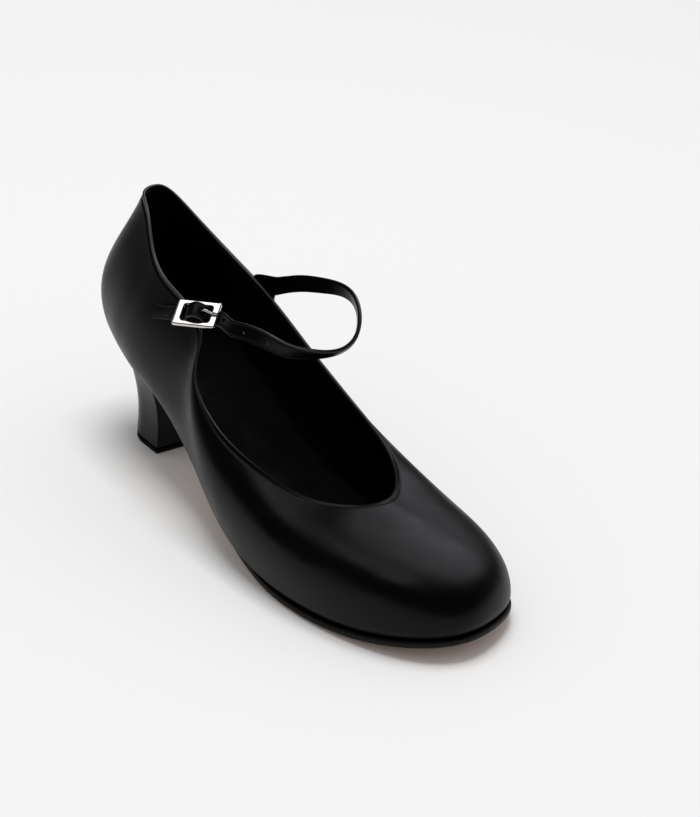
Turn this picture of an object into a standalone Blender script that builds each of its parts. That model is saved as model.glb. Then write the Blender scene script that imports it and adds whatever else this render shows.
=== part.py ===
"""A right-foot character shoe: a pump with a covered heel and one buckled strap.

Metres, +Z up. The toe points along -Y and the big-toe side is +X. The origin is the
centre of the heel's top piece where it stands on the floor.
"""

from collections import namedtuple
from math import cos, pi, radians, sin

import bmesh
import bpy
import numpy as np

# Driving sizes of the last
SHOE_LENGTH = 0.240        # back of the heel seat to the tip of the toe, along the floor
BALL_WIDTH = 0.080         # across the feather edge at the ball of the foot
SEAT_RISE = 0.0495         # how far the heel seat lies above the tread of the ball
COLLAR_HEIGHT = 0.060      # top of the back seam above the heel seat
HEEL_SET = 0.026           # centre of the heel's top piece, in front of the back of the seat

# Thicknesses and clearances
UPPER_WALL = 0.0020        # leather and its lining
SOLE_THICKNESS = 0.0030
SOLE_EDGE = 0.0006         # how far the sole stands out past the feather edge
INSOLE_THICKNESS = 0.0024
TOP_PIECE_THICKNESS = 0.0045
JOINT_GAP = 0.0003         # left between pieces that are cemented or sewn together
SOLE_CROWN = 0.0010        # how far the middle of the tread hangs below its edges
FLOOR_CUT = 0.0004         # depth that the tread is ground flat at the ball

# Covered heel
HEEL_TIP_HALF_WIDTH = 0.0145
HEEL_TIP_BACK = 0.0125     # from the centre of the top piece to its round back
HEEL_TIP_BREAST = 0.0140   # from the centre of the top piece forward to its flat breast
HEEL_SEAT_BREAST = 0.0170  # the same at the seat, where the breast leans forward
HEEL_SEAT_INSET = 0.0008   # the heel's upper edge, in from the feather edge

# Strap, buckle and tab
STRAP_WIDTH = 0.0072
STRAP_THICKNESS = 0.0016
STRAP_PLAY = 0.0008        # how much wider the buckle's window is than the strap
BUCKLE_LENGTH = 0.0185
BUCKLE_SIDE = 0.0021       # width of the rails along the strap
BUCKLE_END = 0.0031        # width of the rails across the strap
BUCKLE_THICKNESS = 0.0016
BUCKLE_CORNER = 0.0009
WINDOW_CORNER = 0.0012
PIN_RADIUS = 0.0006        # the bar across the middle of the buckle
PRONG_RADIUS = 0.0005
TAB_THICKNESS = 0.0009

# Feather edge above the floor at the ball
TREAD = SOLE_THICKNESS + JOINT_GAP + SOLE_CROWN - FLOOR_CUT

# The upper in sections, from the back seam round the lateral side to the toe and back along
# the medial side. Lengths along the shoe are shares of SHOE_LENGTH, lengths across it (medial
# is positive), flare and reach are shares of BALL_WIDTH, and heights are shares of
# COLLAR_HEIGHT. A section leaves the feather edge upwards (rise, flare) and comes into the
# collar from outside (reach, drop).
Section = namedtuple(
    "Section", "place along across collar_along collar_across collar_height rise flare reach drop"
)
SECTIONS = [
    Section("back seam",      -0.006, -0.006, 0.043,  0.012, 1.00, 0.40, 0.097, 0.098, 0.40),
    Section("lateral back",    0.006, -0.200, 0.059, -0.082, 1.00, 0.40, 0.100, 0.110, 0.37),
    Section("lateral heel",    0.071, -0.293, 0.117, -0.158, 0.96, 0.33, 0.090, 0.088, 0.30),
    Section("lateral counter", 0.167, -0.351, 0.210, -0.250, 0.80, 0.27, 0.078, 0.060, 0.23),
    Section("lateral quarter", 0.285, -0.366, 0.338, -0.268, 0.845, 0.23, 0.075, 0.050, 0.18),
    Section("lateral waist",   0.414, -0.398, 0.380, -0.360, 0.71, 0.23, 0.080, 0.048, 0.17),
    Section("lateral joint",   0.543, -0.462, 0.445, -0.402, 0.605, 0.25, 0.075, 0.086, 0.15),
    Section("lateral ball",    0.663, -0.468, 0.568, -0.363, 0.615, 0.28, 0.062, 0.175, 0.12),
    Section("lateral fore",    0.784, -0.425, 0.667, -0.255, 0.59, 0.33, 0.050, 0.276, 0.08),
    Section("lateral toe",     0.893, -0.317, 0.721, -0.132, 0.595, 0.36, 0.031, 0.400, 0.08),
    Section("lateral tip",     0.965, -0.165, 0.738, -0.050, 0.60, 0.38, 0.025, 0.475, 0.10),
    Section("toe tip",         0.994,  0.020, 0.743,  0.022, 0.60, 0.38, 0.024, 0.494, 0.10),
    Section("medial tip",      0.978,  0.238, 0.738,  0.086, 0.59, 0.38, 0.020, 0.456, 0.10),
    Section("medial toe",      0.923,  0.447, 0.722,  0.158, 0.58, 0.36, 0.020, 0.363, 0.09),
    Section("medial fore",     0.823,  0.535, 0.680,  0.262, 0.60, 0.33, 0.026, 0.225, 0.08),
    Section("medial ball",     0.708,  0.538, 0.603,  0.338, 0.645, 0.28, 0.022, 0.145, 0.11),
    Section("medial joint",    0.583,  0.432, 0.492,  0.359, 0.645, 0.25, 0.048, 0.085, 0.15),
    Section("medial waist",    0.441,  0.300, 0.389,  0.325, 0.64, 0.23, 0.100, 0.051, 0.17),
    Section("medial quarter",  0.290,  0.280, 0.276,  0.282, 0.665, 0.23, 0.088, 0.051, 0.18),
    Section("medial counter",  0.168,  0.305, 0.172,  0.232, 0.725, 0.27, 0.075, 0.051, 0.23),
    Section("medial heel",     0.074,  0.284, 0.094,  0.166, 0.85, 0.33, 0.083, 0.056, 0.30),
    Section("medial back",     0.012,  0.186, 0.050,  0.098, 0.96, 0.40, 0.093, 0.064, 0.37),
]
LATERAL_BREAST = 3.25      # where the breast of the heel lies, in sections from the back seam
TOE = 11
MEDIAL_SIDE = len(SECTIONS)

# Height of the feather edge above the tread at the ball, as a share of SEAT_RISE
Bottom = namedtuple("Bottom", "place along height")
BOTTOM_PROFILE = [
    Bottom("back of the seat", 0.00, 1.000),
    Bottom("seat",             0.10, 0.930),
    Bottom("breast",           0.20, 0.828),
    Bottom("shank",            0.30, 0.670),
    Bottom("arch",             0.40, 0.426),
    Bottom("waist",            0.50, 0.190),
    Bottom("joint",            0.58, 0.078),
    Bottom("ball",             0.66, 0.014),
    Bottom("tread",            0.74, 0.003),
    Bottom("fore",             0.84, 0.025),
    Bottom("spring",           0.92, 0.078),
    Bottom("toe tip",          1.00, 0.155),
]


def spline_slopes(knots, values):
    """Slopes of the natural cubic spline through the values, by solving its linear system."""
    count = len(knots)
    steps = np.diff(knots)
    matrix = np.zeros((count, count))
    right = np.zeros(values.shape)
    matrix[0, :2] = 2, 1
    matrix[-1, -2:] = 1, 2
    right[0] = 3 * (values[1] - values[0]) / steps[0]
    right[-1] = 3 * (values[-1] - values[-2]) / steps[-1]
    for i in range(1, count - 1):
        matrix[i, i - 1] = 1 / steps[i - 1]
        matrix[i, i] = 2 / steps[i - 1] + 2 / steps[i]
        matrix[i, i + 1] = 1 / steps[i]
        right[i] = 3 * (
            (values[i] - values[i - 1]) / steps[i - 1] ** 2 + (values[i + 1] - values[i]) / steps[i] ** 2
        )
    return np.linalg.solve(matrix, right)


def spline(knots, values, at):
    """A natural cubic spline through the values, read at the places in `at`."""
    knots = np.asarray(knots, float)
    values = np.asarray(values, float).reshape(len(knots), -1)
    at = np.atleast_1d(np.asarray(at, float))
    slopes = spline_slopes(knots, values)
    i = np.clip(np.searchsorted(knots, at, side="right") - 1, 0, len(knots) - 2)
    step = (knots[i + 1] - knots[i])[:, None]
    t = (at - knots[i])[:, None] / step
    found = (
        (1 + 2 * t) * (1 - t) ** 2 * values[i]
        + t * (1 - t) ** 2 * step * slopes[i]
        + t**2 * (3 - 2 * t) * values[i + 1]
        + t**2 * (t - 1) * step * slopes[i + 1]
    )
    return found


def ring_spline(values, at):
    """The same round a closed ring of evenly numbered rows: three copies stand in for the ring."""
    count = len(values)
    wrap = 4
    rows = np.concatenate([values[-wrap:], values, values[: wrap + 1]])
    knots = np.arange(-wrap, count + wrap + 1)
    return spline(knots, rows, np.mod(at, count))


def bottom_height(along):
    """Height of the feather edge above the floor, at shares of the shoe's length."""
    knots = [row.along for row in BOTTOM_PROFILE]
    heights = [row.height for row in BOTTOM_PROFILE]
    shape = np.shape(along)
    return TREAD + SEAT_RISE * spline(knots, heights, np.ravel(along))[:, 0].reshape(shape)


def along_of(y):
    """Share of the shoe's length at a world y."""
    return (HEEL_SET - y) / SHOE_LENGTH


def feather(at, out=0.0):
    """Points of the feather edge at section numbers `at`, moved out in plan by `out`, and the
    outward normals in plan."""
    table = np.array([row[1:] for row in SECTIONS])
    here = ring_spline(table, at)
    step = 1e-3
    ahead, behind = ring_spline(table, at + step), ring_spline(table, at - step)
    run = np.stack(
        [(ahead[:, 1] - behind[:, 1]) * BALL_WIDTH, (behind[:, 0] - ahead[:, 0]) * SHOE_LENGTH], 1
    )
    run /= np.linalg.norm(run, axis=1)[:, None]
    normal = np.stack([run[:, 1], -run[:, 0], np.zeros(len(run))], 1)
    point = np.stack(
        [here[:, 1] * BALL_WIDTH, HEEL_SET - here[:, 0] * SHOE_LENGTH, bottom_height(here[:, 0])], 1
    )
    point = point + normal * out
    point[:, 2] = bottom_height(along_of(point[:, 1]))
    return point, normal, here


def last_surface(at, up):
    """The outside of the upper: a cubic arc in each section from the feather edge (up = 0) to
    the collar (up = 1). Returns an array of sections by heights by xyz."""
    start, normal, here = feather(at)
    collar_along, collar_across, collar_height, rise, flare, reach, drop = here[:, 2:].T
    end = np.stack(
        [
            collar_across * BALL_WIDTH,
            HEEL_SET - collar_along * SHOE_LENGTH,
            bottom_height(collar_along) + collar_height * COLLAR_HEIGHT,
        ],
        1,
    )
    upward = np.array([0.0, 0.0, 1.0])
    first = start + normal * (flare * BALL_WIDTH)[:, None] + upward * (rise * COLLAR_HEIGHT)[:, None]
    second = end + normal * (reach * BALL_WIDTH)[:, None] - upward * (drop * COLLAR_HEIGHT)[:, None]
    t = up[None, :, None]
    return (
        (1 - t) ** 3 * start[:, None]
        + 3 * (1 - t) ** 2 * t * first[:, None]
        + 3 * (1 - t) * t**2 * second[:, None]
        + t**3 * end[:, None]
    )


def outward_normals(at, up):
    """Unit normals of the last's surface, pointing out of the shoe."""
    step = 1e-3
    along = last_surface(at + step, up) - last_surface(at - step, up)
    upwards = last_surface(at, up + step) - last_surface(at, up - step)
    normal = np.cross(along, upwards)
    normal /= np.linalg.norm(normal, axis=2)[:, :, None]
    outward = feather(at)[1]
    side = np.sign(np.sum(normal[:, 0] * outward, axis=1))
    return normal * side[:, None, None]


def make_object(name, mesh, colour, roughness, metallic=0.0, smooth=radians(50)):
    """Links a mesh as a named object with its own material."""
    material = bpy.data.materials.new(name)
    material.use_nodes = True
    shader = material.node_tree.nodes["Principled BSDF"]
    shader.inputs["Base Color"].default_value = (*colour, 1.0)
    shader.inputs["Roughness"].default_value = roughness
    shader.inputs["Metallic"].default_value = metallic
    mesh.materials.append(material)
    mesh.shade_smooth()
    mesh.set_sharp_from_angle(angle=smooth)
    made = bpy.data.objects.new(name, mesh)
    bpy.context.scene.collection.objects.link(made)
    return made


def close_mesh(name, points, faces, merge=1e-6):
    """A mesh from points and faces, with doubles merged and every face turned outwards."""
    mesh = bpy.data.meshes.new(name)
    mesh.from_pydata([tuple(p) for p in points], [], faces)
    shape = bmesh.new()
    shape.from_mesh(mesh)
    bmesh.ops.remove_doubles(shape, verts=shape.verts, dist=merge)
    bmesh.ops.recalc_face_normals(shape, faces=shape.faces)
    shape.to_mesh(mesh)
    shape.free()
    return mesh


def band_solid(name, outside, inside):
    """A closed wall between two grids that run round the shoe: both faces and both rims."""
    around, high = outside.shape[:2]
    points = np.concatenate([outside.reshape(-1, 3), inside.reshape(-1, 3)])
    half = around * high
    faces = []
    for i in range(around):
        k = (i + 1) % around
        for j in range(high - 1):
            quad = (i * high + j, k * high + j, k * high + j + 1, i * high + j + 1)
            faces.append(quad)
            faces.append(tuple(half + n for n in reversed(quad)))
        for j in (0, high - 1):
            faces.append((i * high + j, k * high + j, half + k * high + j, half + i * high + j))
    return close_mesh(name, points, faces)


def slab_solid(name, top, low):
    """A closed slab between two open grids of rows by columns."""
    rows, columns = top.shape[:2]
    points = np.concatenate([top.reshape(-1, 3), low.reshape(-1, 3)])
    half = rows * columns
    faces = []
    for i in range(rows - 1):
        for j in range(columns - 1):
            quad = (i * columns + j, (i + 1) * columns + j, (i + 1) * columns + j + 1, i * columns + j + 1)
            faces.append(quad)
            faces.append(tuple(half + n for n in reversed(quad)))
    rim = (
        [(0, j) for j in range(columns)]
        + [(i, columns - 1) for i in range(1, rows)]
        + [(rows - 1, j) for j in range(columns - 2, -1, -1)]
        + [(i, 0) for i in range(rows - 2, 0, -1)]
    )
    for (a, b), (c, d) in zip(rim, rim[1:] + rim[:1]):
        faces.append((a * columns + b, c * columns + d, half + c * columns + d, half + a * columns + b))
    return close_mesh(name, points, faces)


def ring_stack(name, rings):
    """A closed solid from a stack of rings of the same count. Points i and last - i of a ring
    face each other across the shoe, so each end is closed by strips between them."""
    count = len(rings[0])
    points = np.concatenate(rings)
    faces = []
    for level in range(len(rings) - 1):
        low, high = level * count, (level + 1) * count
        for i in range(count):
            k = (i + 1) % count
            faces.append((low + i, low + k, high + k, high + i))
    for start in (0, (len(rings) - 1) * count):
        for i in range(count // 2 - 1):
            faces.append((start + i, start + i + 1, start + count - 2 - i, start + count - 1 - i))
    return close_mesh(name, points, faces)


# Upper: vamp and quarters, lasted into one hollow wall
UPPER_COLUMNS = 96
UPPER_ROWS = 12
BLACK_LEATHER = (0.012, 0.012, 0.014)


def make_upper():
    at = np.linspace(0, MEDIAL_SIDE, UPPER_COLUMNS, endpoint=False)
    up = np.linspace(0, 1, UPPER_ROWS)
    outside = last_surface(at, up)
    inside = outside - outward_normals(at, up) * UPPER_WALL
    inside[:, 0] = feather(at, -UPPER_WALL)[0]
    mesh = band_solid("upper", outside, inside)
    return make_object("upper", mesh, BLACK_LEATHER, 0.42)


# Insole and outsole: sheets that follow the bottom of the last
SHEET_COLUMNS = 7
CROWN_START = 0.30         # shares of the length between which the crown of the sole grows
CROWN_FULL = 0.60


def bottom_sheet(first, out, stations, drop_top, drop_low, floor_cut=False):
    """Two grids between the lateral and the medial outline, from section `first` to the toe."""
    step = np.linspace(0, 1, stations)
    share = np.sin(step * pi / 2) if first > 0 else (1 - np.cos(step * pi)) / 2
    lateral = feather(first + (TOE - first) * share, out)[0]
    medial = feather(MEDIAL_SIDE - first - (MEDIAL_SIDE - first - TOE) * share, out)[0]
    across = np.linspace(0, 1, SHEET_COLUMNS)[None, :, None]
    sheet = lateral[:, None] * (1 - across) + medial[:, None] * across
    along = along_of(sheet[:, :, 1])
    fade = np.clip((along - CROWN_START) / (CROWN_FULL - CROWN_START), 0, 1)
    fade = fade * np.minimum(1, (medial - lateral)[:, :1] / (BALL_WIDTH / 2))
    level = bottom_height(along) - SOLE_CROWN * fade * (1 - (2 * across[:, :, 0] - 1) ** 2)
    top, low = sheet.copy(), sheet.copy()
    top[:, :, 2] = level - drop_top
    low[:, :, 2] = level - drop_low
    if floor_cut:
        low[:, :, 2] = np.maximum(low[:, :, 2], 0.0)
    return top, low


def make_insole():
    edge = -(UPPER_WALL + JOINT_GAP)
    top, low = bottom_sheet(0.0, edge, 40, -INSOLE_THICKNESS, 0.0)
    return make_object("insole", slab_solid("insole", top, low), (0.01, 0.01, 0.011), 0.8)


def make_outsole():
    top, low = bottom_sheet(LATERAL_BREAST, SOLE_EDGE, 44, JOINT_GAP, JOINT_GAP + SOLE_THICKNESS, True)
    breast = -HEEL_SEAT_BREAST - JOINT_GAP
    for grid, under in ((top, JOINT_GAP), (low, JOINT_GAP + SOLE_THICKNESS)):
        grid[0, :, 1] = breast
        grid[0, :, 2] = bottom_height(along_of(breast)) - under
    return make_object("outsole", slab_solid("outsole", top, low), (0.40, 0.26, 0.17), 0.7)


# Covered heel and its top piece
HeelRing = namedtuple("HeelRing", "place height width back seat_share")
HEEL_RINGS = [
    HeelRing("over the top piece", 0.00, 1.00, 1.00, 0.00),
    HeelRing("lower stem",         0.16, 0.97, 0.97, 0.00),
    HeelRing("middle of the stem", 0.32, 0.96, 0.96, 0.02),
    HeelRing("upper stem",         0.48, 0.97, 0.98, 0.08),
    HeelRing("swell",              0.63, 0.99, 1.00, 0.19),
    HeelRing("shoulder",           0.77, 1.00, 1.00, 0.38),
    HeelRing("under the seat",     0.90, 1.00, 1.00, 0.70),
    HeelRing("seat",               1.00, 1.00, 1.00, 1.00),
]
HEEL_POINTS = 36           # points round a ring


def tip_outline(width=1.0, back=1.0):
    """The D-shaped outline of the top piece in plan, from the lateral to the medial breast: two
    straight sides, then half a circle whose radius is the half width."""
    centre = (HEEL_TIP_BACK - HEEL_TIP_HALF_WIDTH) * back
    turn = np.linspace(0, pi, HEEL_POINTS - 4)
    x = -np.cos(turn) * HEEL_TIP_HALF_WIDTH * width
    y = centre + np.sin(turn) * HEEL_TIP_HALF_WIDTH * back
    side_x = HEEL_TIP_HALF_WIDTH * width
    side_y = np.array([-HEEL_TIP_BREAST, (centre - HEEL_TIP_BREAST) / 2])
    x = np.concatenate([[-side_x] * 2, x, [side_x] * 2])
    y = np.concatenate([side_y, y, side_y[::-1]])
    return np.stack([x, y], 1)


def seat_outline():
    """The heel's upper outline in plan: the feather edge behind the breast, a little inside."""
    at = np.linspace(LATERAL_BREAST, -LATERAL_BREAST, HEEL_POINTS)
    plan = feather(at, -HEEL_SEAT_INSET)[0][:, :2]
    plan[0, 1] = plan[-1, 1] = -HEEL_SEAT_BREAST
    return plan


def make_heel():
    seat = seat_outline()
    rings = []
    base = TOP_PIECE_THICKNESS + JOINT_GAP
    for row in HEEL_RINGS:
        plan = tip_outline(row.width, row.back) * (1 - row.seat_share) + seat * row.seat_share
        roof = bottom_height(along_of(plan[:, 1])) - JOINT_GAP
        height = base + (roof - base) * row.height
        rings.append(np.column_stack([plan, height]))
    return make_object("heel", ring_stack("heel", rings), BLACK_LEATHER, 0.42)


def make_top_piece():
    plan = tip_outline()
    rings = [
        np.column_stack([plan, np.full(len(plan), level)]) for level in (0.0, TOP_PIECE_THICKNESS)
    ]
    return make_object("top_piece", ring_stack("top_piece", rings), (0.015, 0.015, 0.015), 0.75)


# Buckle: a flat frame on the lateral side, above the ear of the collar
Place = namedtuple("Place", "along across height")
BUCKLE_PLACE = Place(0.358, -0.312, 0.98)          # shares, like a section's collar
BUCKLE_DIRECTION = np.array([0.60, -0.80, 0.08])   # along the strap, from the tail to the instep
BUCKLE_FACE = np.array([-0.45, -0.25, 0.86])       # the way the buckle faces
NICKEL = (0.80, 0.79, 0.77)


def set_out(place):
    """The world point of a place given in shares of the last's sizes."""
    return np.array(
        [
            place.across * BALL_WIDTH,
            HEEL_SET - place.along * SHOE_LENGTH,
            bottom_height(place.along) + place.height * COLLAR_HEIGHT,
        ]
    )


def buckle_axes():
    """Unit vectors along the strap, across it towards its upper edge, and out of its face."""
    lengthways = BUCKLE_DIRECTION / np.linalg.norm(BUCKLE_DIRECTION)
    face = BUCKLE_FACE - lengthways * (BUCKLE_FACE @ lengthways)
    face /= np.linalg.norm(face)
    return lengthways, np.cross(face, lengthways), face


def at_buckle(lengthways, across, high):
    """World points from distances along, across and out of the buckle."""
    axes = buckle_axes()
    return (
        set_out(BUCKLE_PLACE)
        + np.multiply.outer(lengthways, axes[0])
        + np.multiply.outer(across, axes[1])
        + np.multiply.outer(high, axes[2])
    )


WINDOW_HALF_WIDTH = (STRAP_WIDTH + STRAP_PLAY) / 2
WINDOW_HALF_LENGTH = BUCKLE_LENGTH / 2 - BUCKLE_END
RAIL_MIDDLE = BUCKLE_LENGTH / 2 - BUCKLE_END / 2
CORNER_POINTS = 5


def rounded_rectangle(half_length, half_width, corner):
    """Points round a rectangle whose corners are quarter circles."""
    points = []
    for turn, x_sign, y_sign in ((0, 1, 1), (1, -1, 1), (2, -1, -1), (3, 1, -1)):
        for angle in np.linspace(0, pi / 2, CORNER_POINTS) + turn * pi / 2:
            x = x_sign * (half_length - corner) + corner * cos(angle)
            y = y_sign * (half_width - corner) + corner * sin(angle)
            points.append((x, y))
    return np.array(points)


def ring_of_profiles(loops):
    """A closed ring from outlines of the same count, each joined to the next and the last to
    the first."""
    count = len(loops[0])
    faces = []
    for level in range(len(loops)):
        here, there = level * count, (level + 1) % len(loops) * count
        for i in range(count):
            k = (i + 1) % count
            faces.append((here + i, here + k, there + k, there + i))
    return np.concatenate(loops), faces


def tube(path, radius, sides):
    """Rings of points round a path, with flat ends."""
    path = np.asarray(path)
    run = np.gradient(path, axis=0)
    run /= np.linalg.norm(run, axis=1)[:, None]
    side = buckle_axes()[1]
    side = side - run * (run @ side)[:, None]
    side /= np.linalg.norm(side, axis=1)[:, None]
    other = np.cross(run, side)
    turn = np.linspace(0, 2 * pi, sides, endpoint=False)[None, :, None]
    rings = path[:, None] + radius * (np.cos(turn) * side[:, None] + np.sin(turn) * other[:, None])
    faces = []
    for i in range(len(path) - 1):
        for j in range(sides):
            k = (j + 1) % sides
            faces.append((i * sides + j, i * sides + k, (i + 1) * sides + k, (i + 1) * sides + j))
    faces.append(tuple(range(sides)))
    faces.append(tuple((len(path) - 1) * sides + j for j in range(sides)))
    return rings.reshape(-1, 3), faces


def cut_with(target, cutter, operation="DIFFERENCE"):
    """Cuts or joins a solid with another, which is then deleted."""
    modifier = target.modifiers.new("cut", "BOOLEAN")
    modifier.operation = operation
    modifier.solver = "EXACT"
    modifier.object = cutter
    depsgraph = bpy.context.evaluated_depsgraph_get()
    made = bpy.data.meshes.new_from_object(target.evaluated_get(depsgraph))
    target.modifiers.clear()
    target.data = made
    bpy.data.objects.remove(cutter)


def make_buckle_frame():
    half = BUCKLE_THICKNESS / 2
    chamfer = BUCKLE_THICKNESS / 4
    outer = (BUCKLE_LENGTH / 2, WINDOW_HALF_WIDTH + BUCKLE_SIDE, BUCKLE_CORNER)
    window = (WINDOW_HALF_LENGTH, WINDOW_HALF_WIDTH, WINDOW_CORNER)
    loops = []
    for size, grow, high in (
        (outer, 0, -half),
        (outer, 0, half - chamfer),
        (outer, -chamfer, half),
        (window, chamfer, half),
        (window, 0, half - chamfer),
        (window, 0, -half),
    ):
        flat = rounded_rectangle(size[0] + grow, size[1] + grow, size[2] + grow)
        loops.append(at_buckle(flat[:, 0], flat[:, 1], np.full(len(flat), high)))
    points, faces = ring_of_profiles(loops)
    frame = make_object("buckle_frame", close_mesh("buckle_frame", points, faces), NICKEL, 0.2, 1.0)
    reach = WINDOW_HALF_WIDTH + BUCKLE_SIDE / 2
    points, faces = tube(pin_path(reach), PIN_RADIUS, 12)
    pin = make_object("pin", close_mesh("pin", points, faces), NICKEL, 0.2, 1.0)
    cut_with(frame, pin, "UNION")
    return frame


def pin_path(reach):
    across = np.linspace(-reach, reach, 2)
    return at_buckle(np.zeros(2), across, np.zeros(2))


# The strap's and the prong's heights over the pin, out of the buckle's face
TAB_MIDDLE = PIN_RADIUS + JOINT_GAP + TAB_THICKNESS / 2
STRAP_OVER_PIN = PIN_RADIUS + 2 * JOINT_GAP + TAB_THICKNESS + STRAP_THICKNESS / 2 + JOINT_GAP
STRAP_UNDER_RAIL = -(BUCKLE_THICKNESS / 2 + JOINT_GAP + STRAP_THICKNESS / 2)
STRAP_DIP = JOINT_GAP * 1.5              # extra depth where the strap bends at a rail's edge
STRAP_RAMP = WINDOW_HALF_LENGTH * 0.42   # from the pin to the middle of the strap's slope
PRONG_ON_RAIL = BUCKLE_THICKNESS / 2 + JOINT_GAP + PRONG_RADIUS
PRONG_RING = PIN_RADIUS + JOINT_GAP + PRONG_RADIUS


def prong_course():
    """The prong in the buckle's plane of symmetry: round the pin, through the strap's hole and
    down on to the front rail."""
    turn = np.radians(np.linspace(-215, 40, 14))
    ring = np.stack([np.cos(turn), np.sin(turn)], 1) * PRONG_RING
    over = STRAP_OVER_PIN
    rows = np.array(
        [
            (0.30 * RAIL_MIDDLE, 0.78 * over),
            (0.46 * RAIL_MIDDLE, 1.02 * over),
            (0.64 * RAIL_MIDDLE, 0.92 * over),
            (RAIL_MIDDLE - BUCKLE_END / 2, PRONG_ON_RAIL * 1.12),
            (RAIL_MIDDLE, PRONG_ON_RAIL),
            (RAIL_MIDDLE + BUCKLE_END * 0.35, PRONG_ON_RAIL),
        ]
    )
    return np.concatenate([ring, rows])


def make_prong():
    rows = prong_course()
    path = at_buckle(rows[:, 0], np.zeros(len(rows)), rows[:, 1])
    points, faces = tube(path, PRONG_RADIUS, 8)
    return make_object("buckle_prong", close_mesh("buckle_prong", points, faces), NICKEL, 0.2, 1.0)


# Strap: one band from a base sewn outside the medial wall, over the instep, through the buckle,
# to a tail that lies on the lateral wall
WallRow = namedtuple("WallRow", "place up first last")
STRAP_BASE = [
    WallRow("foot of the base", 0.66, 18.20, 18.32),
    WallRow("base",             0.82, 18.02, 18.44),
    WallRow("collar",           1.00, 17.88, 18.60),
]
# The middle of the band over the instep: a place in shares of the last's sizes, then how far
# its upper edge leans to the medial side and forward, per unit of height
BandRow = namedtuple("BandRow", "place along across height lean_across lean_forward width")
STRAP_BAND = [
    BandRow("leaving the base",   0.296,  0.294, 0.800,  0.00, -0.32, 1.25),
    BandRow("medial rise",        0.340,  0.312, 0.945,  0.00, -0.30, 1.00),
    BandRow("medial crest",       0.405,  0.345, 1.165, -0.15, -0.05, 1.00),
    BandRow("medial front",       0.480,  0.330, 1.405, -0.30,  0.30, 1.00),
    BandRow("highest",            0.535,  0.295, 1.490, -0.45,  0.65, 1.00),
    BandRow("front bend",         0.568,  0.245, 1.445, -0.65,  1.05, 1.00),
    BandRow("front",              0.586,  0.165, 1.360, -0.90,  1.30, 1.00),
    BandRow("front lateral",      0.580,  0.080, 1.310, -0.80,  1.15, 1.00),
    BandRow("lateral bend",       0.552,  0.000, 1.260, -0.45,  0.65, 1.00),
    BandRow("lateral fall",       0.510, -0.085, 1.190, -0.05,  0.15, 1.00),
    BandRow("lateral stretch",    0.455, -0.145, 1.110,  0.30, -0.20, 1.00),
]
# The tail on the lateral wall: its clearance is counted in joint gaps
TailRow = namedtuple("TailRow", "place up section clearance")
TAIL = [
    TailRow("behind the buckle", 0.92, 3.80, 7.0),
    TailRow("tail",              0.86, 3.62, 3.0),
    TailRow("tail",              0.79, 3.45, 1.5),
    TailRow("end of the tail",   0.72, 3.28, 1.2),
]
STRAP_COLUMNS = 5
LOOP_STATIONS = 64
BUCKLE_STATIONS = 56


def wall_points(up, sections, stand_off):
    """Points that stand off the outside of the upper, at one height share."""
    at = np.asarray(sections, float)
    heights = np.array([up])
    return (last_surface(at, heights) + outward_normals(at, heights) * stand_off)[:, 0]


def strap_rows():
    """Rows of points across the strap's middle surface, upper or rear edge first."""
    across = np.linspace(0.5, -0.5, STRAP_COLUMNS)
    stand_off = JOINT_GAP + STRAP_THICKNESS / 2
    rows = []
    for row in STRAP_BASE:
        rows.append(wall_points(row.up, np.linspace(row.last, row.first, STRAP_COLUMNS), stand_off))
    for row in STRAP_BAND:
        upward = np.array([row.lean_across, -row.lean_forward, 1.0])
        upward /= np.linalg.norm(upward)
        centre = set_out(row)
        rows.append(centre + np.multiply.outer(across * STRAP_WIDTH * row.width, upward))
    side = across * STRAP_WIDTH
    for lengthways, high in (
        (RAIL_MIDDLE + BUCKLE_END / 2, STRAP_UNDER_RAIL),
        (WINDOW_HALF_LENGTH, STRAP_UNDER_RAIL - STRAP_DIP),
        (STRAP_RAMP, STRAP_OVER_PIN * 0.62),
        (0.0, STRAP_OVER_PIN),
        (-STRAP_RAMP, STRAP_OVER_PIN * 0.62),
        (-WINDOW_HALF_LENGTH, STRAP_UNDER_RAIL - STRAP_DIP),
        (-RAIL_MIDDLE - BUCKLE_END / 2, STRAP_UNDER_RAIL),
    ):
        rows.append(at_buckle(np.full(STRAP_COLUMNS, lengthways), side, np.full(STRAP_COLUMNS, high)))
    step = 1e-3
    for row in TAIL:
        at = np.array([row.section])
        middle = wall_points(row.up, at, STRAP_THICKNESS / 2 + JOINT_GAP * row.clearance)[0]
        rise = last_surface(at, np.array([row.up + step])) - last_surface(at, np.array([row.up - step]))
        rise = rise[0, 0] / np.linalg.norm(rise)
        rows.append(middle + np.multiply.outer(side, rise))
    return np.array(rows)


def travel_of(rows):
    """Distance along the middle of a band at each of its rows."""
    middle = rows.mean(axis=1)
    return np.concatenate([[0], np.cumsum(np.linalg.norm(np.diff(middle, axis=0), axis=1))])


def ribbon(name, rows, thickness, travel, at):
    """A band of even thickness about a smooth surface through rows of points."""
    columns = rows.shape[1]
    surface = spline(travel, rows.reshape(len(rows), -1), at).reshape(len(at), columns, 3)
    normal = np.cross(np.gradient(surface, axis=0), np.gradient(surface, axis=1))
    normal /= np.linalg.norm(normal, axis=2)[:, :, None]
    half = normal * thickness / 2
    return slab_solid(name, surface + half, surface - half)


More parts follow.
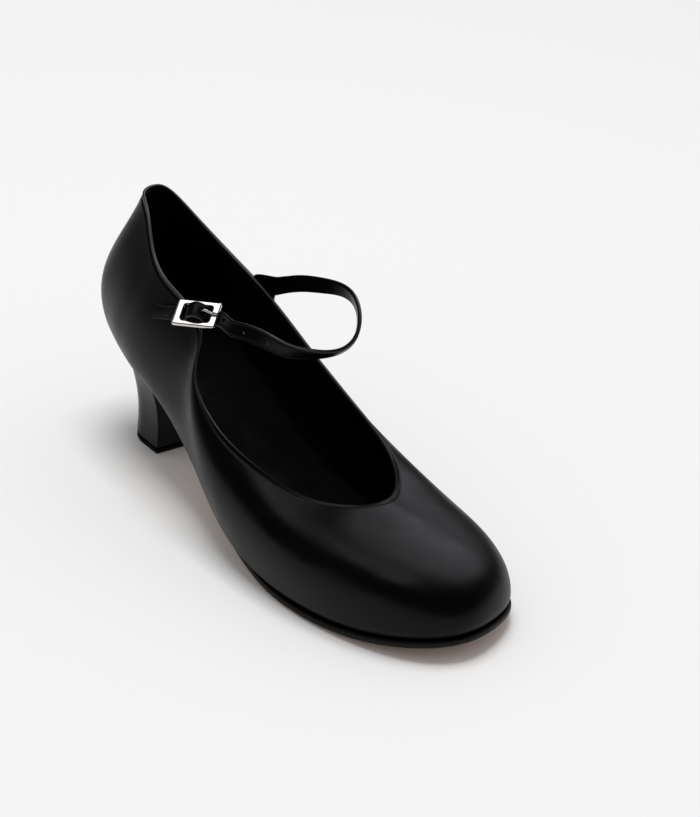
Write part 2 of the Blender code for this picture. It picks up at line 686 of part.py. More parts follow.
def make_strap():
    rows = strap_rows()
    travel = travel_of(rows)
    loop_end = travel[len(STRAP_BASE) + len(STRAP_BAND)]
    loop = np.linspace(0, loop_end, LOOP_STATIONS, endpoint=False)
    at = np.concatenate([loop, np.linspace(loop_end, travel[-1], BUCKLE_STATIONS)])
    mesh = ribbon("strap", rows, STRAP_THICKNESS, travel, at)
    strap = make_object("strap", mesh, BLACK_LEATHER, 0.42)
    over = STRAP_OVER_PIN
    course = np.array([(0.16 * RAIL_MIDDLE, 0.40 * over), (0.62 * RAIL_MIDDLE, 1.35 * over)])
    path = at_buckle(course[:, 0], np.zeros(2), course[:, 1])
    points, faces = tube(path, PRONG_RADIUS + 2 * JOINT_GAP, 10)
    hole = make_object("hole", close_mesh("hole", points, faces), BLACK_LEATHER, 0.42)
    cut_with(strap, hole)
    return strap


# Elastic tab: sewn inside the lateral wall, it comes over the pin of the buckle, and a notch
# in its middle leaves room for the prong
TabRow = namedtuple("TabRow", "place up first last clearance")
TAB_BASE = [
    TabRow("sewn end",         0.80, 4.10, 3.78, 1.0),
    TabRow("inside the ear",   0.92, 4.09, 3.77, 1.5),
    TabRow("past the collar",  1.00, 4.08, 3.76, 2.5),
]
TAB_TURN = (-20, 20, 55, 90, 125, 160)     # degrees round the pin
TAB_STATIONS = 44


def make_tab():
    columns = STRAP_COLUMNS
    rows = []
    for row in TAB_BASE:
        inside = -(UPPER_WALL + JOINT_GAP * row.clearance + TAB_THICKNESS / 2)
        rows.append(wall_points(row.up, np.linspace(row.last, row.first, columns), inside))
    side = np.linspace(0.5, -0.5, columns) * STRAP_WIDTH
    for degrees in TAB_TURN:
        lengthways = np.full(columns, cos(radians(degrees)) * TAB_MIDDLE)
        high = np.full(columns, sin(radians(degrees)) * TAB_MIDDLE)
        rows.append(at_buckle(lengthways, side, high))
    rows = np.array(rows)
    travel = travel_of(rows)
    at = np.linspace(0, travel[-1], TAB_STATIONS)
    mesh = ribbon("buckle_tab", rows, TAB_THICKNESS, travel, at)
    tab = make_object("buckle_tab", mesh, (0.012, 0.012, 0.012), 0.9)
    half = PRONG_RADIUS + JOINT_GAP
    reach = 2 * TAB_MIDDLE
    corners = [(a, w, h) for a in (-reach, reach) for w in (-half, half) for h in (-reach, reach)]
    points = [at_buckle(*corner) for corner in corners]
    faces = [(0, 1, 3, 2), (4, 6, 7, 5), (0, 4, 5, 1), (2, 3, 7, 6), (0, 2, 6, 4), (1, 5, 7, 3)]
    notch = make_object("notch", close_mesh("notch", points, faces), (0.012, 0.012, 0.012), 0.9)
    cut_with(tab, notch)
    return tab


def clear_scene():
    for old in list(bpy.data.objects):
        bpy.data.objects.remove(old)


clear_scene()
make_upper()
make_insole()
make_outsole()
make_heel()
make_top_piece()
make_buckle_frame()
make_prong()
make_strap()
make_tab()
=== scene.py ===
"""A right-foot character shoe in black leather: its finish, linings, seams and stitches."""

from collections import namedtuple
from math import cos, pi, radians, sin

import bmesh
import bpy
import numpy as np
from mathutils import Matrix


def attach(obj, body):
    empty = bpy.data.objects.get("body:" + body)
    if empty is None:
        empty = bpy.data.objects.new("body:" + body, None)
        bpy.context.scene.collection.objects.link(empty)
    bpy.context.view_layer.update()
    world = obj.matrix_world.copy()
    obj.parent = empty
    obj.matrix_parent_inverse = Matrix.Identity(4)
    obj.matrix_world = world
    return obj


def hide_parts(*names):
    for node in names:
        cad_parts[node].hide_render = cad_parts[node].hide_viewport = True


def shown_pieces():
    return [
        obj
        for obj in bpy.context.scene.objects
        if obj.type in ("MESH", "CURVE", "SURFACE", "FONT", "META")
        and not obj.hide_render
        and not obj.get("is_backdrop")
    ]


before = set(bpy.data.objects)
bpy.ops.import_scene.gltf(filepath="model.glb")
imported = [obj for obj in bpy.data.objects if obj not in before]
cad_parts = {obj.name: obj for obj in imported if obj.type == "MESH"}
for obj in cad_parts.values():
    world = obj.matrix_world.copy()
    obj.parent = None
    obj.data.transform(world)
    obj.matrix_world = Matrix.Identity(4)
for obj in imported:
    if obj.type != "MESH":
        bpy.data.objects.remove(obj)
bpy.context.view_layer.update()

# Upper: vamp and quarters of smooth full-grain calf, dyed through, drawn over the last wet and
# cemented under the insole. The collar's edge is skived, folded over a tape and stitched down.
SHOE_LENGTH = 0.240
BALL_WIDTH = 0.080
SEAT_RISE = 0.0495
COLLAR_HEIGHT = 0.060
HEEL_SET = 0.026
UPPER_WALL = 0.0020
LEATHER = 0.0012           # thickness of the leather, the rest of the wall is lining
SOLE_THICKNESS = 0.0030
SOLE_CROWN = 0.0010
FLOOR_CUT = 0.0004
JOINT_GAP = 0.0003
TREAD = SOLE_THICKNESS + JOINT_GAP + SOLE_CROWN - FLOOR_CUT

# Sections of the last from the back seam round the lateral side, the toe and the medial side:
# along and across the feather edge, then the collar's along, across and height, then how the
# wall leaves the feather edge (rise, flare) and meets the collar (reach, drop)
SECTIONS = np.array([
    (-0.006, -0.006, 0.043,  0.012, 1.00, 0.40, 0.097, 0.098, 0.40),    # back seam
    ( 0.006, -0.200, 0.059, -0.082, 1.00, 0.40, 0.100, 0.110, 0.37),    # lateral back
    ( 0.071, -0.293, 0.117, -0.158, 0.96, 0.33, 0.090, 0.088, 0.30),    # lateral heel
    ( 0.167, -0.351, 0.210, -0.250, 0.80, 0.27, 0.078, 0.060, 0.23),    # lateral counter
    ( 0.285, -0.366, 0.338, -0.268, 0.845, 0.23, 0.075, 0.050, 0.18),   # lateral quarter
    ( 0.414, -0.398, 0.380, -0.360, 0.71, 0.23, 0.080, 0.048, 0.17),    # lateral waist
    ( 0.543, -0.462, 0.445, -0.402, 0.605, 0.25, 0.075, 0.086, 0.15),   # lateral joint
    ( 0.663, -0.468, 0.568, -0.363, 0.615, 0.28, 0.062, 0.175, 0.12),   # lateral ball
    ( 0.784, -0.425, 0.667, -0.255, 0.59, 0.33, 0.050, 0.276, 0.08),    # lateral fore
    ( 0.893, -0.317, 0.721, -0.132, 0.595, 0.36, 0.031, 0.400, 0.08),   # lateral toe
    ( 0.965, -0.165, 0.738, -0.050, 0.60, 0.38, 0.025, 0.475, 0.10),    # lateral tip
    ( 0.994,  0.020, 0.743,  0.022, 0.60, 0.38, 0.024, 0.494, 0.10),    # toe tip
    ( 0.978,  0.238, 0.738,  0.086, 0.59, 0.38, 0.020, 0.456, 0.10),    # medial tip
    ( 0.923,  0.447, 0.722,  0.158, 0.58, 0.36, 0.020, 0.363, 0.09),    # medial toe
    ( 0.823,  0.535, 0.680,  0.262, 0.60, 0.33, 0.026, 0.225, 0.08),    # medial fore
    ( 0.708,  0.538, 0.603,  0.338, 0.645, 0.28, 0.022, 0.145, 0.11),   # medial ball
    ( 0.583,  0.432, 0.492,  0.359, 0.645, 0.25, 0.048, 0.085, 0.15),   # medial joint
    ( 0.441,  0.300, 0.389,  0.325, 0.64, 0.23, 0.100, 0.051, 0.17),    # medial waist
    ( 0.290,  0.280, 0.276,  0.282, 0.665, 0.23, 0.088, 0.051, 0.18),   # medial quarter
    ( 0.168,  0.305, 0.172,  0.232, 0.725, 0.27, 0.075, 0.051, 0.23),   # medial counter
    ( 0.074,  0.284, 0.094,  0.166, 0.85, 0.33, 0.083, 0.056, 0.30),    # medial heel
    ( 0.012,  0.186, 0.050,  0.098, 0.96, 0.40, 0.093, 0.064, 0.37),    # medial back
])
RING = len(SECTIONS)
TOE = 11
# Height of the feather edge along the shoe, as a share of the seat's rise
BOTTOM_ALONG = (0.00, 0.10, 0.20, 0.30, 0.40, 0.50, 0.58, 0.66, 0.74, 0.84, 0.92, 1.00)
BOTTOM_RISE = (1.000, 0.930, 0.828, 0.670, 0.426, 0.190, 0.078, 0.014, 0.003, 0.025, 0.078, 0.155)


def spline(knots, values, at):
    """Natural cubic spline: in each span the cubic whose ends have the values and the slopes that
    make the curvature continuous, with no curvature at the two ends. The slopes solve a linear
    system with one row for each knot."""
    knots = np.asarray(knots, float)
    values = np.asarray(values, float).reshape(len(knots), -1)
    at = np.atleast_1d(np.asarray(at, float))
    steps = np.diff(knots)
    rise = np.diff(values, axis=0) / steps[:, None]
    middle = np.arange(1, len(knots) - 1)
    matrix = np.zeros((len(knots), len(knots)))
    matrix[0, :2] = 2, 1
    matrix[-1, -2:] = 1, 2
    matrix[middle, middle - 1] = 1 / steps[:-1]
    matrix[middle, middle] = 2 / steps[:-1] + 2 / steps[1:]
    matrix[middle, middle + 1] = 1 / steps[1:]
    inner = 3 * (rise[:-1] / steps[:-1, None] + rise[1:] / steps[1:, None])
    slopes = np.linalg.solve(matrix, np.concatenate([3 * rise[:1], inner, 3 * rise[-1:]]))
    i = np.clip(np.searchsorted(knots, at, side="right") - 1, 0, len(knots) - 2)
    step = steps[i][:, None]
    t = (at - knots[i])[:, None] / step
    return (
        (1 + 2 * t) * (1 - t) ** 2 * values[i]
        + t * (1 - t) ** 2 * step * slopes[i]
        + t**2 * (3 - 2 * t) * values[i + 1]
        + t**2 * (t - 1) * step * slopes[i + 1]
    )


def sections_at(at):
    """The table of sections read at any section number, as a closed ring: the spline through the
    table with its last rows repeated before it and its first rows after it."""
    wrap = 4
    rows = np.concatenate([SECTIONS[-wrap:], SECTIONS, SECTIONS[: wrap + 1]])
    return spline(np.arange(-wrap, RING + wrap + 1), rows, np.mod(at, RING))


def bottom_height(along):
    """Height of the feather edge above the floor: the tread plus the seat's rise times the spline
    of the bottom profile."""
    share = spline(BOTTOM_ALONG, BOTTOM_RISE, np.ravel(along))[:, 0]
    return TREAD + SEAT_RISE * share.reshape(np.shape(along))


def along_of(y):
    """Share of the shoe's length at a world y."""
    return (HEEL_SET - y) / SHOE_LENGTH


def feather(at, out=0.0):
    """Feather edge: points in plan from the sections, pushed along the outward normal of that
    curve by `out`, and lifted to the bottom profile. Returns points, normals and sections."""
    here = sections_at(at)
    step = 1e-3
    ahead, behind = sections_at(at + step), sections_at(at - step)
    run_x = (ahead[:, 1] - behind[:, 1]) * BALL_WIDTH
    run_y = (behind[:, 0] - ahead[:, 0]) * SHOE_LENGTH
    length = np.hypot(run_x, run_y)
    normal = np.stack([run_y / length, -run_x / length, 0 * length], 1)
    plan = np.stack([here[:, 1] * BALL_WIDTH, HEEL_SET - here[:, 0] * SHOE_LENGTH, 0 * length], 1)
    plan = plan + normal * np.reshape(out, (-1, 1))
    plan[:, 2] = bottom_height(along_of(plan[:, 1]))
    return plan, normal, here


def last_surface(at, up):
    """Outside of the upper: in each section a cubic Bezier arc from the feather edge (up = 0) to
    the collar (up = 1). Its first handle goes up by the rise and out by the flare, its second
    lies out by the reach and down by the drop from the collar."""
    start, normal, here = feather(at)
    collar_along, collar_across, collar_height, rise, flare, reach, drop = here[:, 2:].T
    end = np.stack(
        [
            collar_across * BALL_WIDTH,
            HEEL_SET - collar_along * SHOE_LENGTH,
            bottom_height(collar_along) + collar_height * COLLAR_HEIGHT,
        ],
        1,
    )
    upward = np.array([0.0, 0.0, 1.0])
    first = start + normal * (flare * BALL_WIDTH)[:, None] + upward * (rise * COLLAR_HEIGHT)[:, None]
    second = end + normal * (reach * BALL_WIDTH)[:, None] - upward * (drop * COLLAR_HEIGHT)[:, None]
    t = np.asarray(up, float)[None, :, None]
    return (
        (1 - t) ** 3 * start[:, None]
        + 3 * (1 - t) ** 2 * t * first[:, None]
        + 3 * (1 - t) * t**2 * second[:, None]
        + t**3 * end[:, None]
    )


def wall(at, up):
    """Points of the last's surface with their outward unit normals, which are the cross product
    of its two finite differences."""
    step = 1e-3
    along = last_surface(at + step, up) - last_surface(at - step, up)
    rising = last_surface(at, up + step) - last_surface(at, up - step)
    normal = np.cross(along, rising)
    normal /= np.linalg.norm(normal, axis=2)[:, :, None]
    side = np.sign(np.sum(normal[:, 0] * feather(at)[1], axis=1))
    return last_surface(at, up), normal * side[:, None, None]


def bell(x, width):
    """A soft hump of height 1 at x = 0: exp of minus the square of x over the width."""
    return np.exp(-((x / width) ** 2))


def ramp(x, width):
    """A soft step from 0 to 1 about x = 0."""
    return 0.5 + 0.5 * np.tanh(x / width)


Crease = namedtuple("Crease", "place section up slant length width depth")
# Soft folds where the foot bends the vamp and where the quarter is drawn in at the waist
CREASES = [
    Crease("vamp flex, lateral",   7.6, 0.66, -0.20, 0.90, 0.090, 0.00012),
    Crease("vamp flex, medial",   14.9, 0.66,  0.20, 0.80, 0.090, 0.00012),
    Crease("waist hollow",         4.6, 0.40,  0.15, 0.90, 0.180, 0.00030),
    Crease("waist hollow, medial", 17.4, 0.45, -0.10, 0.90, 0.180, 0.00030),
    Crease("counter edge",         2.7, 0.50,  0.00, 0.22, 0.420, 0.00025),
    Crease("counter edge, medial", 19.6, 0.50, 0.00, 0.22, 0.420, 0.00025),
    Crease("toe puff edge",        9.6, 0.50,  0.10, 1.30, 0.080, 0.00020),
]
BEAD = 0.00022             # how far the folded edge of the collar stands out
BEAD_WIDTH = 0.0005
COLLAR_STITCH = 0.0016     # from the edge down to the row of stitches
STITCH_GROOVE = 0.00030
GROOVE_WIDTH = 0.0005
FEATHER_TURN = 0.0016      # the leather turns in over this height, where it goes under
FEATHER_DEPTH = 0.0009     # and by this much, forward of the heel
FOREPART = 3.35            # section where the turned edge starts, on either side
SEAM_TOP, SEAM_FOOT = 17.86, 16.95     # vamp seam on the medial side, in section numbers
SEAM_STEP = 0.00045
SEAM_SHARPNESS = 0.012     # in section numbers
VAMP_BREADTH = 1.6         # sections over which the step behind the seam fades
BACK_SEAM = 0.00018
BACK_SEAM_WIDTH = 0.02     # in section numbers


def seam_section(up):
    """Section number of the vamp seam at a height share: it leans back as it rises."""
    return SEAM_FOOT + (SEAM_TOP - SEAM_FOOT) * up**0.8


def relief(at, up, rise):
    """What the leather adds to the last, along its normal: the bead and the stitch groove of the
    collar from the distance `rise` below the edge, the step of the medial vamp seam, the line of
    the back seam, and the creases, each a trough with a lower ridge beside it."""
    u, v = at[:, None], up[None, :]
    shape = BEAD * bell(rise, BEAD_WIDTH) - STITCH_GROOVE * bell(rise - COLLAR_STITCH, GROOVE_WIDTH)
    behind = u - seam_section(v)
    step = ramp(behind, SEAM_SHARPNESS) * ramp(VAMP_BREADTH - behind, 0.5) * ramp(v - 0.02, 0.02)
    shape = shape + SEAM_STEP * step - BACK_SEAM * bell(np.minimum(u, RING - u), BACK_SEAM_WIDTH)
    for crease in CREASES:
        across = v - crease.up - crease.slant * (u - crease.section)
        fade = bell(u - crease.section, crease.length)
        trough = bell(across, crease.width) - 0.45 * bell(across - 1.9 * crease.width, crease.width)
        shape = shape - crease.depth * fade * trough
    return shape


def srgb(code):
    """Linear colour of an sRGB hex code, by the standard's curve."""
    channel = np.array([int(code[i : i + 2], 16) / 255 for i in (1, 3, 5)])
    linear = np.where(channel <= 0.04045, channel / 12.92, ((channel + 0.055) / 1.055) ** 2.4)
    return (*linear, 1.0)


def add(tree, kind, settings=None, **inputs):
    """Adds a shader node. Each input takes a value, or a pair of node and output to link."""
    made = tree.nodes.new(kind)
    for name, value in (settings or {}).items():
        setattr(made, name, value)
    for name, value in inputs.items():
        socket = made.inputs[int(name[1:])] if name[1:].isdigit() else made.inputs[name.replace("_", " ")]
        if isinstance(value, tuple) and len(value) == 2 and hasattr(value[0], "outputs"):
            tree.links.new(value[0].outputs[value[1]], socket)
        else:
            socket.default_value = value
    return made


def material(name, roughness, metallic=0.0, **sockets):
    """A material whose even values are set on the sockets of its Principled BSDF. Returns it
    with its node tree, that shader, and the Object coordinates for its patterns."""
    made = bpy.data.materials.new(name)
    made.use_nodes = True
    shader = made.node_tree.nodes["Principled BSDF"]
    shader.inputs["Roughness"].default_value = roughness
    shader.inputs["Metallic"].default_value = metallic
    for socket, value in sockets.items():
        shader.inputs[socket.replace("_", " ")].default_value = value
    return made, made.node_tree, shader, (add(made.node_tree, "ShaderNodeTexCoord"), "Object")


def tones(tree, shader, place, size, low, high, detail=4.0):
    """Links the base colour to a noise of that size in metres, between two colours."""
    noise = add(tree, "ShaderNodeTexNoise", Vector=place, Scale=1 / size, Detail=detail)
    mix = add(tree, "ShaderNodeMix", {"data_type": "RGBA"}, i0=(noise, "Fac"), i6=srgb(low), i7=srgb(high))
    tree.links.new(mix.outputs[2], shader.inputs["Base Color"])


def gloss(tree, shader, place, size, low, high, detail=4.0):
    """Links the roughness to a noise of that size in metres, between two values."""
    noise = add(tree, "ShaderNodeTexNoise", Vector=place, Scale=1 / size, Detail=detail)
    span = add(tree, "ShaderNodeMapRange", Value=(noise, "Fac"), From_Min=0.3, From_Max=0.7,
               To_Min=low, To_Max=high)
    tree.links.new(span.outputs["Result"], shader.inputs["Roughness"])


PORE = 0.00045             # the size of the grain's cells, drawn twice as coarse as in real calf
BREAK = 0.0016             # from one fine wrinkle of the grain to the next


def calf(name, low, high, sheen_low, sheen_high, grain=0.25, shine=0.12):
    """Smooth calf with an aniline finish: near black with a soft broad sheen, fine pores and a
    faint break in the grain."""
    made, tree, shader, place = material(
        name, 0.4, Coat_Weight=0.01, Coat_Roughness=0.25, Specular_IOR_Level=shine, IOR=1.5
    )
    tones(tree, shader, place, 0.020, low, high)
    gloss(tree, shader, place, 0.012, sheen_low, sheen_high, 8.0)
    cells = add(tree, "ShaderNodeTexVoronoi", {"feature": "F1"}, Vector=place, Scale=1 / PORE)
    folds = add(tree, "ShaderNodeTexNoise", Vector=place, Scale=1 / BREAK, Detail=6.0, Distortion=0.6)
    both = add(tree, "ShaderNodeMath", {"operation": "MULTIPLY_ADD"}, i0=(cells, "Distance"), i1=0.5,
               i2=(folds, "Fac"))
    bump = add(tree, "ShaderNodeBump", Height=(both, "Value"), Strength=grain, Distance=0.00012)
    tree.links.new(bump.outputs["Normal"], shader.inputs["Normal"])
    return made


def grid_mesh(name, grid, close_rows=False, close_columns=False, caps=()):
    """A mesh from a grid of points: each cell of rows by columns is one face, and a closed
    direction joins its last line to its first. `caps` holds rows filled with one face."""
    rows, columns = grid.shape[:2]
    r = np.arange(rows if close_rows else rows - 1)
    c = np.arange(columns if close_columns else columns - 1)
    i, j = np.meshgrid(r, c, indexing="ij")
    k, m = (i + 1) % rows, (j + 1) % columns
    faces = np.stack([i * columns + j, k * columns + j, k * columns + m, i * columns + m], -1)
    faces = faces.reshape(-1, 4).tolist() + [[row * columns + n for n in range(columns)] for row in caps]
    mesh = bpy.data.meshes.new(name)
    mesh.from_pydata(grid.reshape(-1, 3).tolist(), [], faces)
    return mesh


def close_up(mesh, merge):
    """Merges doubles, which closes seams and poles, and turns every face out."""
    shape = bmesh.new()
    shape.from_mesh(mesh)
    bmesh.ops.remove_doubles(shape, verts=shape.verts, dist=merge)
    bmesh.ops.recalc_face_normals(shape, faces=shape.faces)
    shape.to_mesh(mesh)
    shape.free()


def finish_piece(name, mesh, look, slot, *replaced, merge=2e-6, crease=60):
    """Closes a mesh, shades it smooth, and hands the piece to the frame."""
    close_up(mesh, merge)
    mesh.materials.clear()
    mesh.materials.append(look)
    mesh.shade_smooth()
    mesh.set_sharp_from_angle(angle=radians(crease))
    piece = bpy.data.objects.new(name, mesh)
    bpy.context.scene.collection.objects.link(piece)
    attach(piece, "root")
    if replaced:
        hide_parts(*replaced)
    return piece


UPPER_AROUND = 660
UPPER_UP = 1 - (1 - np.linspace(0, 1, 72)) ** 1.5      # closer together towards the collar


def rise_below_edge(points):
    """Distance along each section from the collar's edge down to each point."""
    steps = np.linalg.norm(np.diff(points, axis=1), axis=2)
    lengths = np.concatenate([np.zeros((len(points), 1)), np.cumsum(steps, axis=1)], axis=1)
    return lengths[:, -1:] - lengths, lengths


def make_upper():
    """Each section's profile is a closed loop: up the outside, half a turn over the folded edge,
    down the inside of the leather, and under the feather edge."""
    at = np.linspace(0, RING, UPPER_AROUND, endpoint=False)
    point, normal = wall(at, UPPER_UP)
    rise, height = rise_below_edge(point)
    forward = ramp(np.minimum(at, RING - at) - FOREPART, 0.10)[:, None]
    turn_in = FEATHER_DEPTH * bell(height, FEATHER_TURN) * forward
    outside = point + normal * (relief(at, UPPER_UP, rise) - turn_in)[:, :, None]
    inside = point - normal * LEATHER
    top, direction = outside[:, -1], normal[:, -1]
    centre = (top + inside[:, -1]) / 2
    radius = np.linalg.norm(top - inside[:, -1], axis=1)[:, None] / 2
    upward = top - outside[:, -3]
    upward -= direction * np.sum(upward * direction, axis=1)[:, None]
    upward /= np.linalg.norm(upward, axis=1)[:, None]
    turns = np.linspace(0, pi, 9)[1:-1]
    fold = np.stack(
        [centre + radius * (cos(a) * direction + 0.9 * sin(a) * upward) for a in turns], axis=1
    )
    fold -= upward[:, None] * radius[:, None] * 0.55
    outside[:, -1] -= upward * radius * 0.25
    inside = inside[:, ::-4]
    return np.concatenate([outside, fold, inside], axis=1)


def second_finish(piece, look, wanted):
    """Gives a piece's wanted faces, one truth value for each, a second material."""
    piece.data.materials.append(look)
    piece.data.polygons.foreach_set("material_index", wanted.astype(np.int32))


def grid_column(piece, columns):
    """The column of its grid that each face of a piece lies in."""
    return np.arange(len(piece.data.polygons)) % columns


# Folded and cut edges are burnished with wax. The thin grey line along them is a painted highlight: a grey
# base colour that stands in for the light they catch
EDGE_PAINTED_HIGHLIGHT, tree, shader, place = material("burnished_edge_painted_highlight", 0.38, Specular_IOR_Level=0.5)
tones(tree, shader, place, 0.005, "#1b1b1d", "#252528")

CALF = calf("calf_leather", "#040405", "#070608", 0.31, 0.41)
upper_grid = make_upper()
upper = finish_piece("vamp_and_quarters", grid_mesh("vamp", upper_grid, True, True), CALF,
                     "upper_leather", "upper")
past_edge = grid_column(upper, upper_grid.shape[1]) - (len(UPPER_UP) - 1)
# The folded edge of the collar gets the grey base colour of the painted highlight
second_finish(upper, EDGE_PAINTED_HIGHLIGHT, (past_edge >= 0) & (past_edge < 6))

# Lining: thin black cloth-backed skin, cemented inside the leather and trimmed just under the
# folded edge of the collar
LINING_TOP = 0.0010        # from the collar's edge down to the lining's edge
LINING_WAVE = 0.00010      # how far the lining stands off here and there
LINING_SKIVE = 0.00012     # how much thinner its edge is
GLUE_LINE = 0.00004


def make_lining():
    """The last's surface moved in: its outer face touches the leather, its inner face is the
    inside of the wall, and a rounded edge joins them under the collar."""
    at = np.linspace(0, RING, 440, endpoint=False)
    up = np.linspace(0.0, 1.0, 40)
    point, normal = wall(at, up)
    speed = np.linalg.norm(point[:, -1] - point[:, -2], axis=1) / (up[-1] - up[-2])
    share = up[None, :] * (1 - LINING_TOP / speed)[:, None]
    index = share * (len(up) - 1)
    low = np.clip(np.floor(index).astype(int), 0, len(up) - 2)
    part = (index - low)[:, :, None]
    row = np.arange(len(at))[:, None]
    point = point[row, low] * (1 - part) + point[row, low + 1] * part
    normal = normal[row, low] * (1 - part) + normal[row, low + 1] * part
    outer = point - normal * (LEATHER + GLUE_LINE)
    wave = LINING_WAVE * np.sin(at[:, None] * 9.0 + up[None, :] * 14) * bell(up[None, :] - 0.5, 0.4)
    skive = LINING_SKIVE * ramp(up - 0.97, 0.01)[None, :]
    inner = point - normal * (UPPER_WALL - skive + wave)[:, :, None]
    rim = (outer[:, -1:] + inner[:, -1:]) / 2 + (point[:, -1:] - point[:, -2:-1]) * 0.12
    return np.concatenate([outer, rim, inner[:, ::-1]], axis=1)


# A flocked cloth swallows the light, so that the inside stays almost black
LINING, tree, shader, place = material("lining_cloth", 0.88, Specular_IOR_Level=0.12)
tones(tree, shader, place, 0.030, "#010101", "#020202")
THREAD = 0.0004            # weave, drawn a little coarser than real
weave = add(tree, "ShaderNodeTexVoronoi", Vector=place, Scale=1 / THREAD)
bump = add(tree, "ShaderNodeBump", Height=(weave, "Distance"), Strength=0.3, Distance=0.0001)
tree.links.new(bump.outputs["Normal"], shader.inputs["Normal"])
finish_piece("quarter_lining", grid_mesh("lining", make_lining(), True, True), LINING,
             "sock_lining", "upper")

# Stitches: waxed black polyester thread, pulled into the leather. Each one
# is a short fat bar, and a row of them follows the collar, another pair the vamp seam
STITCH = 0.0017            # from one stitch to the next
THREAD_RADIUS = 0.00022
STITCH_SLANT = 0.10        # radians between a stitch and its row
ABOVE_COLLAR = 0.00006     # how far a stitch's middle line stands over the leather
ABOVE_SEAM = 0.00004


def capsule(sides=8, rings=7):
    """A unit capsule along x: rings whose radius is the root of 1 less the fourth power of their
    share of its length, with a small flat at either end. Returns points and faces."""
    share = np.cos(np.linspace(pi, 0, rings))
    radius = np.sqrt(np.clip(1 - share**4, 0.02, 1))
    angle = np.linspace(0, 2 * pi, sides, endpoint=False)
    x = np.repeat(share[:, None], sides, 1)
    points = np.stack([x, radius[:, None] * np.cos(angle), radius[:, None] * np.sin(angle)], -1)
    i, j = np.meshgrid(np.arange(rings - 1), np.arange(sides), indexing="ij")
    k = (j + 1) % sides
    faces = np.stack([i * sides + j, i * sides + k, (i + 1) * sides + k, (i + 1) * sides + j], -1)
    return points.reshape(-1, 3), faces.reshape(-1, 4)


def stitch_mesh(name, paths, spacing=STITCH, radius=THREAD_RADIUS, fill=0.74):
    """Capsules set along paths at even distances. Each path is points and normals: a stitch lies
    along the path's run, half sunk below the surface."""
    shape, faces = capsule()
    all_points, all_faces, count = [], [], 0
    for path, normal in paths:
        length = np.concatenate([[0], np.cumsum(np.linalg.norm(np.diff(path, axis=0), axis=1))])
        number = max(2, int(length[-1] / spacing))
        at = (np.arange(number) + 0.5) * length[-1] / number
        centre = np.stack([np.interp(at, length, path[:, k]) for k in range(3)], 1)
        ahead = np.stack([np.interp(at + spacing / 4, length, path[:, k]) for k in range(3)], 1)
        behind = np.stack([np.interp(at - spacing / 4, length, path[:, k]) for k in range(3)], 1)
        out = np.stack([np.interp(at, length, normal[:, k]) for k in range(3)], 1)
        run = ahead - behind
        run /= np.linalg.norm(run, axis=1)[:, None]
        out -= run * np.sum(run * out, axis=1)[:, None]
        out /= np.linalg.norm(out, axis=1)[:, None]
        side = np.cross(out, run)
        run = run * cos(STITCH_SLANT) + side * sin(STITCH_SLANT)
        side = np.cross(out, run)
        half = length[-1] / number * fill / 2
        points = (
            centre[:, None]
            + shape[None, :, :1] * half * run[:, None]
            + shape[None, :, 1:2] * radius * side[:, None]
            + shape[None, :, 2:] * radius * 0.8 * out[:, None]
        )
        all_points.append(points.reshape(-1, 3))
        base = np.arange(number)[:, None, None] * len(shape) + count
        all_faces.append((faces[None] + base).reshape(-1, 4))
        count += number * len(shape)
    mesh = bpy.data.meshes.new(name)
    mesh.from_pydata(np.concatenate(all_points).tolist(), [], np.concatenate(all_faces).tolist())
    return mesh


# Wax dulls the thread, which shows only as darker dashes in the leather
THREADS, tree, shader, place = material("waxed_thread", 0.55, Specular_IOR_Level=0.2)
tones(tree, shader, place, 0.004, "#000000", "#010101")


def finish_stitches(name, paths, **settings):
    """A row of stitches as one piece."""
    mesh = stitch_mesh(name, paths, **settings)
    mesh.materials.append(THREADS)
    mesh.shade_smooth()
    piece = bpy.data.objects.new(name, mesh)
    bpy.context.scene.collection.objects.link(piece)
    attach(piece, "root")
    return piece


def wall_line(at, distance, lift):
    """A line on the leather at a distance below the collar's edge, for section numbers `at`."""
    up = np.linspace(0.80, 1.0, 60)
    point, normal = wall(at, up)
    rise, _ = rise_below_edge(point)
    pick = np.argmin(np.abs(rise - distance), axis=1)
    row = np.arange(len(at))
    height = relief(at, up, rise)[row, pick] + lift
    return point[row, pick] + normal[row, pick] * height[:, None], normal[row, pick]


round_collar = np.linspace(0, RING, 900)
finish_stitches("collar_stitches", [wall_line(round_collar, COLLAR_STITCH, ABOVE_COLLAR)])


def wall_path(sections, ups, lift):
    """Points and normals on the leather along pairs of section number and height share."""
    found = [wall(np.array([u]), np.array([v])) for u, v in zip(sections, ups)]
    point = np.array([p[0, 0] for p, n in found])
    normal = np.array([n[0, 0] for p, n in found])
    return point + normal * lift, normal


seam_up = np.linspace(0.05, 0.97, 40)
SEAM_ROWS = (0.055, 0.115)     # the two rows behind the seam, in section numbers
seam_rows = [
    wall_path(seam_section(seam_up) + row, seam_up, SEAM_STEP + ABOVE_SEAM) for row in SEAM_ROWS
]
finish_stitches("vamp_seam_stitches", seam_rows)

# Insole: a stiff board with a thin black sock of napped skin
# cemented over the whole of it
INSOLE_THICKNESS = 0.0024
CROWN_START, CROWN_FULL = 0.30, 0.60


def sheet_level(point, lateral, medial):
    """Height of the last's bottom at plan points: the bottom profile, less the crown, which is
    deepest midway between the two edges and fades out towards the arch and the toe."""
    along = along_of(point[..., 1])
    fade = np.clip((along - CROWN_START) / (CROWN_FULL - CROWN_START), 0, 1)
    breadth = np.maximum(np.linalg.norm(medial - lateral, axis=-1), 1e-6)
    fade = fade * np.minimum(1, breadth / (BALL_WIDTH / 2))
    share = np.linalg.norm(point[..., :2] - lateral[..., :2], axis=-1) / breadth
    return bottom_height(along) - SOLE_CROWN * fade * (1 - (2 * np.clip(share, 0, 1) - 1) ** 2)


